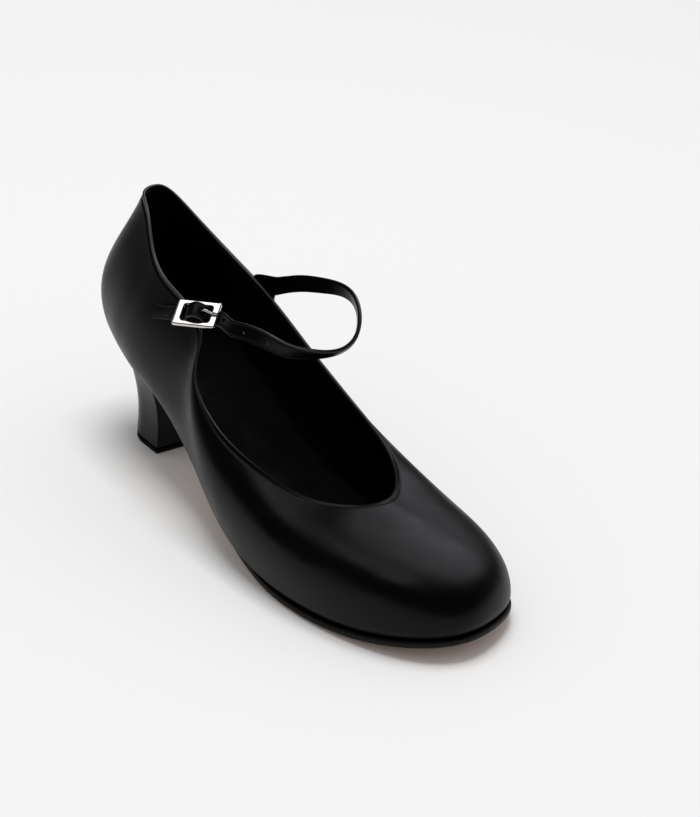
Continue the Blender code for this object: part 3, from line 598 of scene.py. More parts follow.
def bottom_loop(first, out, stations):
    """The outline of a sheet under the last: the lateral edge from section `first` to the toe,
    then the medial edge back. Returns the edge, its normals, and both opposite edges."""
    step = np.linspace(0, 1, stations)
    share = np.sin(step * pi / 2) if first > 0 else (1 - np.cos(step * pi)) / 2
    lateral_at = first + (TOE - first) * share
    medial_at = RING - first - (RING - first - TOE) * share
    lateral, lateral_normal, _ = feather(lateral_at, out)
    medial, medial_normal, _ = feather(medial_at, out)
    edge = np.concatenate([lateral, medial[::-1]])
    normal = np.concatenate([lateral_normal, medial_normal[::-1]])
    left = np.concatenate([lateral, lateral[::-1]])
    right = np.concatenate([medial, medial[::-1]])
    return edge, normal, left, right


def sheet_solid(first, out, profile, stations=150, shares=14):
    """A sheet with a shaped edge. `profile` lists the edge from the top round to the bottom as
    distance out and height over the last's bottom; inside the edge the top and the bottom run
    in to the middle line between the two outlines."""
    edge, normal, left, right = bottom_loop(first, out, stations)
    middle = (left + right) / 2
    rings = []
    inward = 1 - (1 - np.linspace(0, 1, shares)) ** 1.2
    for share in inward[::-1][:-1]:
        rings.append((share, profile[0][0], profile[0][1]))
    rings += [(0.0, *row) for row in profile]
    for share in inward[1:]:
        rings.append((share, profile[-1][0], profile[-1][1]))
    grid = []
    for share, distance, height in rings:
        plan = edge + normal * distance
        plan = plan + (middle - plan) * share
        plan[:, 2] = sheet_level(plan, left, right) + height
        grid.append(plan)
    return np.array(grid).transpose(1, 0, 2)


# The insole's edge from the top down: distance out, and height over the last's bottom
INSOLE_EDGE = [
    (-0.0006, INSOLE_THICKNESS),
    (-0.0002, INSOLE_THICKNESS - 0.0001),
    (0.0, INSOLE_THICKNESS - 0.0005),
    (0.0, JOINT_GAP),
]
NAP = 0.0007               # size of the sock's nap
# Napped skin is dull and a little patchy where it is rubbed
SOCK, tree, shader, place = material("sock_lining_skin", 0.75, Specular_IOR_Level=0.15)
tones(tree, shader, place, 0.025, "#020202", "#040404")
gloss(tree, shader, place, 0.010, 0.60, 0.80)
suede = add(tree, "ShaderNodeTexNoise", Vector=place, Scale=1 / NAP, Detail=8.0)
bump = add(tree, "ShaderNodeBump", Height=(suede, "Fac"), Strength=0.4, Distance=0.00015)
tree.links.new(bump.outputs["Normal"], shader.inputs["Normal"])
insole_grid = sheet_solid(0.0, JOINT_GAP - UPPER_WALL, INSOLE_EDGE)
finish_piece("sock_and_insole", grid_mesh("insole", insole_grid, True, False), SOCK,
             "sock_lining", "insole")

# Outsole: one sheet of tan sole leather, cemented on, its edge set and inked black. A dark line
# shows above it, where the upper turns in under the insole
SOLE_EDGE = 0.0006
HEEL_SEAT_BREAST = 0.0170
LATERAL_BREAST = 3.25
SOLE_COLUMNS = 24
WAIST_INSET = 0.0034       # how much closer the edge is trimmed under the waist
WAIST_ENDS = 6.6           # section number, from the back, where the edge comes out again
# The edge from the top to the bottom: distance inside the outline, and share of the thickness
SOLE_PROFILE = np.array([
    (0.00070, 0.00), (0.00045, 0.03), (0.00015, 0.12), (0.0, 0.28), (0.00003, 0.50),
    (0.0, 0.72), (0.00018, 0.88), (0.00050, 0.97), (0.00080, 1.00),
])


def trim(at):
    """How far the sole's edge stands out of the feather edge: a welt's breadth round the
    forepart, and well under the upper at the waist."""
    from_back = np.minimum(at, RING - at)
    return SOLE_EDGE - WAIST_INSET * (1 - ramp(from_back - WAIST_ENDS, 0.7))


def make_outsole():
    """Each row is a closed loop across the shoe: over the top, down the medial edge, back under
    and up the lateral edge. Rows run from the heel's breast to the toe, where they close."""
    forward = np.sin(np.linspace(0, 1, 260) * pi / 2)
    lateral_at = LATERAL_BREAST + (TOE - LATERAL_BREAST) * forward
    medial_at = RING - LATERAL_BREAST - (RING - LATERAL_BREAST - TOE) * forward
    loops = []
    across = np.linspace(0, 1, SOLE_COLUMNS)
    steps = [(share, *SOLE_PROFILE[0]) for share in across]
    steps += [(1.0, *row) for row in SOLE_PROFILE[1:-1]]
    steps += [(share, *SOLE_PROFILE[-1]) for share in across[::-1]]
    steps += [(0.0, *row) for row in SOLE_PROFILE[-2:0:-1]]
    for share, inside, depth in steps:
        left, right = [feather(at, trim(at) - inside)[0] for at in (lateral_at, medial_at)]
        plan = left * (1 - share) + right * share
        plan[0, 1] = -HEEL_SEAT_BREAST - JOINT_GAP
        level = sheet_level(plan, left, right)
        plan[:, 2] = np.maximum(level - JOINT_GAP - SOLE_THICKNESS * depth, 0.0)
        loops.append(plan)
    return np.array(loops).transpose(1, 0, 2)


# Bark-tanned leather, brushed but not waxed, is matt with a fine fibre
TAN, tree, shader, place = material("sole_leather", 0.62, Specular_IOR_Level=0.35)
tones(tree, shader, place, 0.014, "#8d6a4b", "#a5805c", 8.0)
gloss(tree, shader, place, 0.006, 0.50, 0.72)
FIBRE = 0.0006
fibre = add(tree, "ShaderNodeTexNoise", Vector=place, Scale=1 / FIBRE, Detail=6.0)
bump = add(tree, "ShaderNodeBump", Height=(fibre, "Fac"), Strength=0.25, Distance=0.0001)
tree.links.new(bump.outputs["Normal"], shader.inputs["Normal"])

# Edge ink set with a warm iron leaves the edge black with a low, uneven sheen
INK, tree, shader, place = material("inked_sole_edge", 0.5, Specular_IOR_Level=0.15)
tones(tree, shader, place, 0.006, "#050506", "#09090a")
gloss(tree, shader, place, 0.004, 0.42, 0.60)

sole = finish_piece("outsole_leather", grid_mesh("outsole", make_outsole(), False, True, (0,)), TAN,
                    "sole_leather", "outsole", crease=50)
normals = np.empty(len(sole.data.polygons) * 3)
sole.data.polygons.foreach_get("normal", normals)
INKED_ABOVE = -0.75        # faces that look down more steeply than this stay tan
second_finish(sole, INK, normals[2::3] > INKED_ABOVE)

# Heel: a plastic core covered with the upper's calf, lasted round and folded under at the seat;
# its breast is flat with sharp corners
TOP_PIECE_THICKNESS = 0.0022  # what shows below the cover
HEEL_TIP_HALF_WIDTH = 0.0145
HEEL_TIP_BACK = 0.0125
HEEL_TIP_BREAST = 0.0140
HEEL_SEAT_INSET = 0.0004
# Rings of the heel: height, width and back as shares, and how much of the seat's outline shows
HEEL_RINGS = np.array([
    (0.00, 1.00, 1.00, 0.00),
    (0.16, 0.97, 0.97, 0.00),
    (0.32, 0.96, 0.96, 0.02),
    (0.48, 0.97, 0.98, 0.08),
    (0.63, 0.99, 1.00, 0.19),
    (0.77, 1.00, 1.00, 0.38),
    (0.90, 1.00, 1.00, 0.70),
    (1.00, 1.00, 1.00, 1.00),
])
HEEL_POINTS = 160
HEEL_SIDE_POINTS = 20      # of them, along each straight side of the top piece
FOLD_AT_LIFT = 0.0006      # how far the cover turns in over the top piece
FOLD_AT_SEAT = 0.0005


def tip_outline(width=1.0, back=1.0, grow=0.0):
    """The D-shaped outline of the top piece: straight sides, then half a circle at the back."""
    centre = (HEEL_TIP_BACK - HEEL_TIP_HALF_WIDTH) * back
    straight = HEEL_SIDE_POINTS
    turn = np.linspace(0, pi, HEEL_POINTS - 2 * straight)
    x = -np.cos(turn) * (HEEL_TIP_HALF_WIDTH * width + grow)
    y = centre + np.sin(turn) * (HEEL_TIP_HALF_WIDTH * back + grow)
    side = HEEL_TIP_HALF_WIDTH * width + grow
    rise = np.linspace(-HEEL_TIP_BREAST - grow, centre, straight, endpoint=False)
    x = np.concatenate([np.full(straight, -side), x, np.full(straight, side)])
    y = np.concatenate([rise, y, rise[::-1]])
    return np.stack([x, y], 1)


def seat_outline():
    """The heel's upper outline in plan: the feather edge behind the breast, a little inside."""
    plan = feather(np.linspace(LATERAL_BREAST, -LATERAL_BREAST, HEEL_POINTS), -HEEL_SEAT_INSET)[0]
    plan = plan[:, :2].copy()
    plan[0, 1] = plan[-1, 1] = -HEEL_SEAT_BREAST
    return plan


def even_spacing(plan):
    """The same outline with its points at even distances."""
    length = np.concatenate([[0], np.cumsum(np.hypot(*np.diff(plan, axis=0).T))])
    at = np.linspace(0, length[-1], len(plan))
    return np.stack([np.interp(at, length, plan[:, k]) for k in range(2)], 1)


def make_heel():
    """Rings from the top piece to the seat: the two outlines mixed by a spline of the ring table,
    and heights between the top piece and the curved seat."""
    seat = even_spacing(seat_outline())
    base = TOP_PIECE_THICKNESS + JOINT_GAP
    rings = []
    for height in np.linspace(0, 1, 60):
        width, back, share = spline(HEEL_RINGS[:, 0], HEEL_RINGS[:, 1:], height)[0]
        turn = FOLD_AT_LIFT * np.exp(-height / 0.006) + FOLD_AT_SEAT * np.exp(-(1 - height) / 0.008)
        plan = even_spacing(tip_outline(width, back, -turn)) * (1 - share) + seat * share
        roof = bottom_height(along_of(plan[:, 1])) - JOINT_GAP
        rings.append(np.column_stack([plan, base + (roof - base) * height]))
    return np.array(rings)


def strip_mesh(name, rings):
    """A stack of rings closed at both ends by strips between facing points."""
    mesh = grid_mesh(name, rings, False, True)
    count = rings.shape[1]
    shape = bmesh.new()
    shape.from_mesh(mesh)
    shape.verts.ensure_lookup_table()
    for start in (0, (len(rings) - 1) * count):
        for i in range(count // 2 - 1):
            ends = (start + i, start + i + 1, start + count - 2 - i, start + count - 1 - i)
            shape.faces.new([shape.verts[n] for n in ends])
    shape.to_mesh(mesh)
    shape.free()
    return mesh


# The same calf, stretched tighter over the heel, so that it is a little shinier
COVER = calf("heel_cover_calf", "#050506", "#080809", 0.32, 0.42, 0.2, 0.20)
finish_piece("heel_cover", strip_mesh("heel", make_heel()), COVER, "heel_cover", "heel", crease=45)

# Top piece: a lift of hard black rubber, trimmed flush with the heel and pinned from below
# The lift's edge from the floor up: distance out, and height
LIFT_EDGE = np.array([(-0.0006, 0.0), (-0.0002, 0.0002), (0.0, 0.0006), (0.0, 0.0016), (-0.00010, 0.0020),
                      (-0.0005, 0.0022)])
# Hard rubber, buffed on the trimming wheel, is dull and dark grey-black
RUBBER, tree, shader, place = material("top_piece_rubber", 0.68, Specular_IOR_Level=0.15)
tones(tree, shader, place, 0.008, "#050505", "#0a0a0a")
gloss(tree, shader, place, 0.003, 0.58, 0.80)
lift = np.array([np.column_stack([tip_outline(grow=g), np.full(HEEL_POINTS, z)]) for g, z in LIFT_EDGE])
finish_piece("top_piece_lift", strip_mesh("lift", lift), RUBBER, "top_piece_rubber", "top_piece", crease=50)

# Buckle: a flat frame cast in zinc, tumbled to round its bevels and plated with bright nickel,
# with a pin across its middle for the prong and the tab
STRAP_WIDTH = 0.0072
STRAP_THICKNESS = 0.0016
STRAP_PLAY = 0.0008
BUCKLE_LENGTH = 0.0185
BUCKLE_SIDE = 0.0021
BUCKLE_END = 0.0031
BUCKLE_THICKNESS = 0.0016
BUCKLE_CORNER = 0.0009
WINDOW_CORNER = 0.0012
PIN_RADIUS = 0.0006
PRONG_RADIUS = 0.0005
TAB_THICKNESS = 0.0009
Place = namedtuple("Place", "along across height")
BUCKLE_PLACE = Place(0.358, -0.312, 0.98)
BUCKLE_DIRECTION = np.array([0.60, -0.80, 0.08])
BUCKLE_FACE = np.array([-0.45, -0.25, 0.86])
WINDOW_HALF_WIDTH = (STRAP_WIDTH + STRAP_PLAY) / 2
WINDOW_HALF_LENGTH = BUCKLE_LENGTH / 2 - BUCKLE_END
RAIL_MIDDLE = BUCKLE_LENGTH / 2 - BUCKLE_END / 2


def set_out(place):
    """The point of a place given in shares of the last's sizes."""
    return np.array([
        place.across * BALL_WIDTH,
        HEEL_SET - place.along * SHOE_LENGTH,
        float(bottom_height(place.along)) + place.height * COLLAR_HEIGHT,
    ])


def buckle_axes():
    """Unit vectors along the strap, across it towards its upper edge, and out of its face."""
    lengthways = BUCKLE_DIRECTION / np.linalg.norm(BUCKLE_DIRECTION)
    face = BUCKLE_FACE - lengthways * (BUCKLE_FACE @ lengthways)
    face /= np.linalg.norm(face)
    return lengthways, np.cross(face, lengthways), face


def at_buckle(lengthways, across, high):
    """Points from distances along, across and out of the buckle."""
    axes = buckle_axes()
    parts = [np.multiply.outer(d, axis) for d, axis in zip((lengthways, across, high), axes)]
    return set_out(BUCKLE_PLACE) + parts[0] + parts[1] + parts[2]


def rounded_rectangle(half_length, half_width, corner, points=12):
    """Points round a rectangle whose corners are quarter circles."""
    found = []
    for turn, x_sign, y_sign in ((0, 1, 1), (1, -1, 1), (2, -1, -1), (3, 1, -1)):
        angle = np.linspace(0, pi / 2, points) + turn * pi / 2
        x = x_sign * (half_length - corner) + corner * np.cos(angle)
        y = y_sign * (half_width - corner) + corner * np.sin(angle)
        found.append(np.stack([x, y], 1))
    return np.concatenate(found)


def bevel_steps(depth, across, number=7):
    """A quarter of an ellipse from the side of a rail to its face: inward step and drop."""
    turn = np.linspace(0, pi / 2, number)
    return [(across * (1 - cos(t)), depth * (1 - sin(t))) for t in turn]


def make_buckle():
    """Loops round the frame: up the outer side, over both bevels and down the window."""
    half = BUCKLE_THICKNESS / 2
    outer = (BUCKLE_LENGTH / 2, WINDOW_HALF_WIDTH + BUCKLE_SIDE, BUCKLE_CORNER)
    window = (WINDOW_HALF_LENGTH, WINDOW_HALF_WIDTH, WINDOW_CORNER)
    over = bevel_steps(half * 0.62, 0.00065)
    under = bevel_steps(half * 0.35, 0.00025)
    rows = [(outer, -inward, -half + drop) for inward, drop in under[::-1]]
    rows += [(outer, -inward, half - drop) for inward, drop in over]
    rows += [(window, inward, half - drop) for inward, drop in over[::-1]]
    rows += [(window, inward, -half + drop) for inward, drop in under]
    loops = []
    for size, grow, high in rows:
        flat = rounded_rectangle(size[0] + grow, size[1] + grow, max(size[2] + grow, 0.0002))
        loops.append(at_buckle(flat[:, 0], flat[:, 1], np.full(len(flat), high)))
    return np.array(loops)


def rod(path, radius, side, sides=20):
    """Rings of a round bar along a path, with domed ends: radius is one value for each point."""
    path = np.asarray(path, float)
    radius = np.broadcast_to(radius, len(path)).astype(float)
    run = np.gradient(path, axis=0)
    run /= np.linalg.norm(run, axis=1)[:, None]
    dome = np.linspace(pi / 2, 0, 6)[:-1]
    first = [(path[0] - run[0] * radius[0] * sin(a), run[0], radius[0] * cos(a)) for a in dome]
    last = [(path[-1] + run[-1] * radius[-1] * sin(a), run[-1], radius[-1] * cos(a)) for a in dome[::-1]]
    rows = first + list(zip(path, run, radius)) + last
    turn = np.linspace(0, 2 * pi, sides, endpoint=False)
    rings = []
    for centre, forward, size in rows:
        across = side - forward * (forward @ side)
        across /= np.linalg.norm(across)
        other = np.cross(forward, across)
        ring = np.multiply.outer(np.cos(turn), across) + np.multiply.outer(np.sin(turn), other)
        rings.append(centre + max(size, 1e-6) * ring)
    return np.array(rings)


# Bright nickel over a tumbled casting mirrors the softboxes, with slightly soft edges
NICKEL, tree, shader, place = material("bright_nickel_plate", 0.16, 1.0, IOR=2.0)
tones(tree, shader, place, 0.003, "#d4d1cb", "#e0ddd8")
gloss(tree, shader, place, 0.0012, 0.10, 0.20, 8.0)
finish_piece("buckle_rim", grid_mesh("buckle", make_buckle(), True, True), NICKEL, "buckle_metal",
             "buckle_frame", crease=70)
reach = WINDOW_HALF_WIDTH + BUCKLE_SIDE / 2
pin = rod(at_buckle(np.zeros(2), np.array([-reach, reach]), np.zeros(2)), PIN_RADIUS, buckle_axes()[0])
finish_piece("buckle_pin", grid_mesh("pin", pin, False, True), NICKEL, "buckle_metal", "buckle_frame")

# Prong: nickel-plated wire bent round the pin, through the strap's hole and on to the front rail
TAB_MIDDLE = PIN_RADIUS + JOINT_GAP + TAB_THICKNESS / 2
STRAP_OVER_PIN = PIN_RADIUS + 2 * JOINT_GAP + TAB_THICKNESS + STRAP_THICKNESS / 2 + JOINT_GAP
STRAP_UNDER_RAIL = -(BUCKLE_THICKNESS / 2 + JOINT_GAP + STRAP_THICKNESS / 2)
STRAP_DIP = JOINT_GAP * 1.5
STRAP_RAMP = WINDOW_HALF_LENGTH * 0.42
PRONG_ON_RAIL = BUCKLE_THICKNESS / 2 + JOINT_GAP + PRONG_RADIUS
PRONG_RING = PIN_RADIUS + JOINT_GAP + PRONG_RADIUS


def prong_course():
    """The prong's middle line in the buckle's plane of symmetry, as a spline through its bends."""
    turn = np.radians(np.linspace(-215, 40, 14))
    ring = np.stack([np.cos(turn), np.sin(turn)], 1) * PRONG_RING
    over = STRAP_OVER_PIN
    rows = np.array([
        (0.30 * RAIL_MIDDLE, 0.78 * over),
        (0.46 * RAIL_MIDDLE, 1.02 * over),
        (0.64 * RAIL_MIDDLE, 0.92 * over),
        (RAIL_MIDDLE - BUCKLE_END / 2, PRONG_ON_RAIL * 1.12),
        (RAIL_MIDDLE, PRONG_ON_RAIL),
        (RAIL_MIDDLE + BUCKLE_END * 0.35, PRONG_ON_RAIL),
    ])
    rows = np.concatenate([ring, rows])
    length = np.concatenate([[0], np.cumsum(np.hypot(*np.diff(rows, axis=0).T))])
    return spline(length, rows, np.linspace(0, length[-1], 70))


course = prong_course()
PRONG_TIP = 1.25           # the tip is swaged thicker than the wire
swell = 1 + (PRONG_TIP - 1) * ramp(np.linspace(0, 1, len(course)) - 0.93, 0.03)
prong = at_buckle(course[:, 0], np.zeros(len(course)), course[:, 1])
prong = rod(prong, PRONG_RADIUS * swell, buckle_axes()[1], 16)
finish_piece("prong_wire", grid_mesh("prong", prong, False, True), NICKEL, "buckle_metal", "buckle_prong")

# Strap: two plies of the upper's calf folded round a tape and stitched along both edges. Its
# base is sewn on the medial wall; its free end is cut square and lies on the lateral wall
WallRow = namedtuple("WallRow", "place up first last")
STRAP_BASE = [
    WallRow("foot of the base", 0.66, 18.20, 18.32),
    WallRow("base",             0.82, 18.02, 18.44),
    WallRow("collar",           1.00, 17.88, 18.36),
]
BandRow = namedtuple("BandRow", "place along across height lean_across lean_forward width")
STRAP_BAND = [
    BandRow("leaving the base",   0.300,  0.296, 0.790,  0.00, -0.26, 1.06),
    BandRow("medial rise",        0.340,  0.312, 0.945,  0.00, -0.30, 1.00),
    BandRow("medial crest",       0.405,  0.345, 1.165, -0.15, -0.05, 1.00),
    BandRow("medial front",       0.480,  0.330, 1.405, -0.30,  0.30, 1.00),
    BandRow("highest",            0.535,  0.295, 1.490, -0.45,  0.65, 1.00),
    BandRow("front bend",         0.568,  0.245, 1.445, -0.65,  1.05, 1.00),
    BandRow("front",              0.586,  0.165, 1.360, -0.90,  1.30, 1.00),
    BandRow("front lateral",      0.580,  0.080, 1.310, -0.80,  1.15, 1.00),
    BandRow("lateral bend",       0.552,  0.000, 1.260, -0.45,  0.65, 1.00),
    BandRow("lateral fall",       0.510, -0.085, 1.190, -0.05,  0.15, 1.00),
    BandRow("lateral stretch",    0.455, -0.145, 1.138,  0.30, -0.20, 1.00),
]
TailRow = namedtuple("TailRow", "place up section clearance")
TAIL = [
    TailRow("behind the buckle", 0.92, 3.80, 7.0),
    TailRow("tail",              0.86, 3.62, 3.0),
    TailRow("tail",              0.79, 3.45, 1.5),
    TailRow("end of the tail",   0.72, 3.28, 1.2),
]
STRAP_COLUMNS = 5
SAG_AT_RAIL = 0.0013       # the strap turns down close to the front rail


def wall_points(up, sections, stand_off):
    """Points that stand off the outside of the upper, at one height share."""
    point, normal = wall(np.asarray(sections, float), np.array([up]))
    return (point + normal * stand_off)[:, 0]


def strap_rows():
    """Rows of points across the strap's middle surface, upper or rear edge first."""
    across = np.linspace(0.5, -0.5, STRAP_COLUMNS)
    stand_off = JOINT_GAP + STRAP_THICKNESS / 2
    rows = []
    for row in STRAP_BASE:
        rows.append(wall_points(row.up, np.linspace(row.last, row.first, STRAP_COLUMNS), stand_off))
    for row in STRAP_BAND:
        upward = np.array([row.lean_across, -row.lean_forward, 1.0])
        upward /= np.linalg.norm(upward)
        rows.append(set_out(row) + np.multiply.outer(across * STRAP_WIDTH * row.width, upward))
    side = across * STRAP_WIDTH
    leaving = (RAIL_MIDDLE + BUCKLE_END / 2, STRAP_UNDER_RAIL)
    exit_row = at_buckle(np.full(STRAP_COLUMNS, leaving[0]), side, np.full(STRAP_COLUMNS, leaving[1]))
    turned = exit_row * 0.70 + rows[-1] * 0.30
    rows.append(turned - buckle_axes()[1] * SAG_AT_RAIL)
    for lengthways, high in (
        (RAIL_MIDDLE + BUCKLE_END / 2, STRAP_UNDER_RAIL),
        (WINDOW_HALF_LENGTH, STRAP_UNDER_RAIL - STRAP_DIP),
        (STRAP_RAMP, STRAP_OVER_PIN * 0.62),
        (0.0, STRAP_OVER_PIN),
        (-STRAP_RAMP, STRAP_OVER_PIN * 0.62),
        (-WINDOW_HALF_LENGTH, STRAP_UNDER_RAIL - STRAP_DIP),
        (-RAIL_MIDDLE - BUCKLE_END / 2, STRAP_UNDER_RAIL),
    ):
        rows.append(at_buckle(np.full(STRAP_COLUMNS, lengthways), side, np.full(STRAP_COLUMNS, high)))
    step = 1e-3
    for row in TAIL:
        at = np.array([row.section])
        middle = wall_points(row.up, at, STRAP_THICKNESS / 2 + JOINT_GAP * row.clearance)[0]
        rise = last_surface(at, np.array([row.up + step])) - last_surface(at, np.array([row.up - step]))
        rise = rise[0, 0] / np.linalg.norm(rise)
        rows.append(middle + np.multiply.outer(side, rise))
    return np.array(rows)


def travel_of(rows):
    """Distance along the middle of a band at each of its rows."""
    steps = np.linalg.norm(np.diff(rows.mean(axis=1), axis=0), axis=1)
    return np.concatenate([[0], np.cumsum(steps)])


def band(rows, at):
    """The band's middle surface at distances along it, with its normals, which face out where
    the band passes the buckle."""
    travel = travel_of(rows)
    surface = spline(travel, rows.reshape(len(rows), -1), at).reshape(len(at), rows.shape[1], 3)
    normal = np.cross(np.gradient(surface, axis=0), np.gradient(surface, axis=1))
    normal /= np.linalg.norm(normal, axis=2)[:, :, None]
    nearest = np.argmin(np.linalg.norm(surface[:, 2] - set_out(BUCKLE_PLACE), axis=1))
    return surface, normal * np.sign(normal[nearest, 2] @ buckle_axes()[2])


def across_band(surface, normal, share, height):
    """Points at a share across the band (-1 to 1) and a height off its middle surface."""
    place = (share + 1) / 2 * (surface.shape[1] - 1)
    low = min(int(place), surface.shape[1] - 2)
    part = place - low
    point = surface[:, low] * (1 - part) + surface[:, low + 1] * part
    out = normal[:, low] * (1 - part) + normal[:, low + 1] * part
    return point + out * height, out


def cut_from(piece, mesh):
    """Takes the closed shape of a mesh away from a piece."""
    cutter = bpy.data.objects.new("cutter", mesh)
    bpy.context.scene.collection.objects.link(cutter)
    modifier = piece.modifiers.new("cut", "BOOLEAN")
    modifier.operation = "DIFFERENCE"
    modifier.solver = "EXACT"
    modifier.object = cutter
    cut = bpy.data.meshes.new_from_object(piece.evaluated_get(bpy.context.evaluated_depsgraph_get()))
    piece.modifiers.clear()
    piece.data = cut
    bpy.data.objects.remove(cutter)


# Cross-section of the strap: share across, and share of half the thickness
STRAP_PROFILE = [
    (-1.00, 0.00), (-0.995, 0.40), (-0.97, 0.75), (-0.92, 0.96), (-0.85, 1.00), (-0.76, 0.99), (-0.70, 0.84),
    (-0.64, 0.98), (-0.55, 1.02), (-0.25, 1.05), (0.00, 1.06), (0.25, 1.05), (0.55, 1.02), (0.64, 0.98),
    (0.70, 0.84), (0.76, 0.99), (0.85, 1.00), (0.92, 0.96), (0.97, 0.75), (0.995, 0.40), (1.00, 0.00),
    (0.995, -0.40), (0.97, -0.75), (0.92, -0.96), (0.80, -1.00), (0.40, -1.00), (0.00, -1.00), (-0.40, -1.00),
    (-0.80, -1.00), (-0.92, -0.96), (-0.97, -0.75), (-0.995, -0.40),
]
HOLE_SPACING = 0.011
HOLE_RADIUS = 0.00085
PIN_TO_HOLE = 0.0030       # from the pin to the hole that the prong is in, along the strap
strap_places = strap_rows()
strap_length = travel_of(strap_places)[-1]
strap_at = np.linspace(0, strap_length, 560)
strap_surface, strap_normal = band(strap_places, strap_at)
# Leather this stiff bends evenly: between the base and the buckle the strap is averaged over
# EASE along its length, and the averaged surface is blended in and out
EASE = 0.005
spread = np.exp(-(((strap_at[:, None] - strap_at[None, :]) / EASE) ** 2) / 2)
spread /= spread.sum(axis=1)[:, None]
free_from, free_to = travel_of(strap_places)[[2, len(STRAP_BASE) + len(STRAP_BAND) + 1]]
free = ramp(strap_at - free_from - 2.2 * EASE, EASE / 2) * ramp(free_to - 2.2 * EASE - strap_at, EASE / 2)
eased = np.tensordot(spread, strap_surface, 1)
strap_surface += (eased - strap_surface) * free[:, None, None]
strap_grid = np.array([
    across_band(strap_surface, strap_normal, share, high * STRAP_THICKNESS / 2)[0]
    for share, high in STRAP_PROFILE
]).transpose(1, 0, 2)
strap_mesh = grid_mesh("strap", strap_grid, False, True, (0, len(strap_grid) - 1))
strap = finish_piece("instep_strap", strap_mesh, CALF, "upper_leather", "strap", crease=70)
column = grid_column(strap, len(STRAP_PROFILE))
# The strap's cut edges get the grey base colour of the painted highlight
second_finish(strap, EDGE_PAINTED_HIGHLIGHT, (column < 3) | ((column >= 18) & (column < 21)))
pin_travel = travel_of(strap_places)[len(STRAP_BASE) + len(STRAP_BAND) + 4]
over = STRAP_OVER_PIN
hole = np.array([(0.16 * RAIL_MIDDLE, 0.40 * over), (0.62 * RAIL_MIDDLE, 1.35 * over)])
hole_path = at_buckle(hole[:, 0], np.zeros(2), hole[:, 1])
cutters = [rod(hole_path, PRONG_RADIUS + 2 * JOINT_GAP, buckle_axes()[1], 16)]
for number in (-3, -2, -1, 1, 2):
    at = pin_travel - PIN_TO_HOLE + number * HOLE_SPACING
    if not 0 < at < strap_length - 0.003:
        continue
    row = int(at / strap_length * (len(strap_at) - 1))
    centre, out = strap_surface[row, 2], strap_normal[row, 2]
    path = np.array([centre - out * 0.002, centre + out * 0.002])
    cutters.append(rod(path, HOLE_RADIUS, strap_surface[row, 3] - centre, 16))
for rings in cutters:
    punch = grid_mesh("punch", rings, False, True)
    close_up(punch, 3e-6)
    cut_from(strap, punch)
strap.data.set_sharp_from_angle(angle=radians(50))

STRAP_SEAM = 0.70          # share of half the width at which the stitches run
END_SEAM = -14             # station, from the tail's end, of the row that crosses it
groove = 0.90 * STRAP_THICKNESS / 2
face = 1.02 * STRAP_THICKNESS / 2
along = slice(4, -4)
seams = [
    across_band(strap_surface[along], strap_normal[along], share, groove)
    for share in (-STRAP_SEAM, STRAP_SEAM)
]
shares = np.linspace(-STRAP_SEAM, STRAP_SEAM, 12)
end = [across_band(strap_surface, strap_normal, share, face) for share in shares]
seams.append(tuple(np.array([found[k][END_SEAM] for found in end]) for k in range(2)))
finish_stitches("strap_stitches", seams, spacing=0.0015, radius=0.00017)

# Tab: black woven elastic sewn inside the lateral wall, looped round the pin to hold the buckle
TabRow = namedtuple("TabRow", "place up first last clearance")
TAB_BASE = [
    TabRow("sewn end",         0.80, 4.10, 3.78, 1.0),
    TabRow("inside the ear",   0.92, 4.09, 3.77, 1.5),
    TabRow("past the collar",  1.00, 4.08, 3.76, 2.5),
]
TAB_TURN = (-20, 20, 55, 90, 125, 160)
RIB = 0.00045              # from one rib of the weave to the next
RIB_HEIGHT = 0.00006


def tab_rows():
    """Rows of points across the tab, from its sewn end to the last turn round the pin."""
    rows = []
    for row in TAB_BASE:
        inside = -(UPPER_WALL + JOINT_GAP * row.clearance + TAB_THICKNESS / 2)
        rows.append(wall_points(row.up, np.linspace(row.last, row.first, STRAP_COLUMNS), inside))
    side = np.linspace(0.5, -0.5, STRAP_COLUMNS) * STRAP_WIDTH
    for degrees in TAB_TURN:
        lengthways = np.full(STRAP_COLUMNS, cos(radians(degrees)) * TAB_MIDDLE)
        high = np.full(STRAP_COLUMNS, sin(radians(degrees)) * TAB_MIDDLE)
        rows.append(at_buckle(lengthways, side, high))
    return np.array(rows)


rows = tab_rows()
tab_at = np.linspace(0, travel_of(rows)[-1], 150)
surface, normal = band(rows, tab_at)
rib = RIB_HEIGHT * np.cos(tab_at / RIB * 2 * pi)
loop = []
for side in (1, -1):
    for share in np.linspace(-1, 1, 15)[::side]:
        edge = 1 - 0.5 * abs(share) ** 12
        point, out = across_band(surface, normal, share, 0.0)
        loop.append(point + out * (side * (TAB_THICKNESS / 2 * edge + rib))[:, None])
tab_grid = np.array(loop).transpose(1, 0, 2)
# Woven polyester over rubber has a dull ribbed face
ELASTIC, tree, shader, place = material("black_elastic", 0.85, Specular_IOR_Level=0.15)
tones(tree, shader, place, 0.002, "#030303", "#070707")
gloss(tree, shader, place, 0.001, 0.75, 0.92)
tab = finish_piece("elastic_tab", grid_mesh("tab", tab_grid, False, True, (0, len(tab_grid) - 1)), ELASTIC,
                   "elastic", "buckle_tab", crease=50)
half = PRONG_RADIUS + JOINT_GAP
reach = 2 * TAB_MIDDLE
corners = [at_buckle(a, w, h) for a in (-reach, reach) for w in (-half, half) for h in (-reach, reach)]
sides = [(0, 1, 3, 2), (4, 6, 7, 5), (0, 4, 5, 1), (2, 3, 7, 6), (0, 2, 6, 4), (1, 5, 7, 3)]
notch = bpy.data.meshes.new("notch")
notch.from_pydata([tuple(p) for p in corners], [], sides)
cut_from(tab, notch)

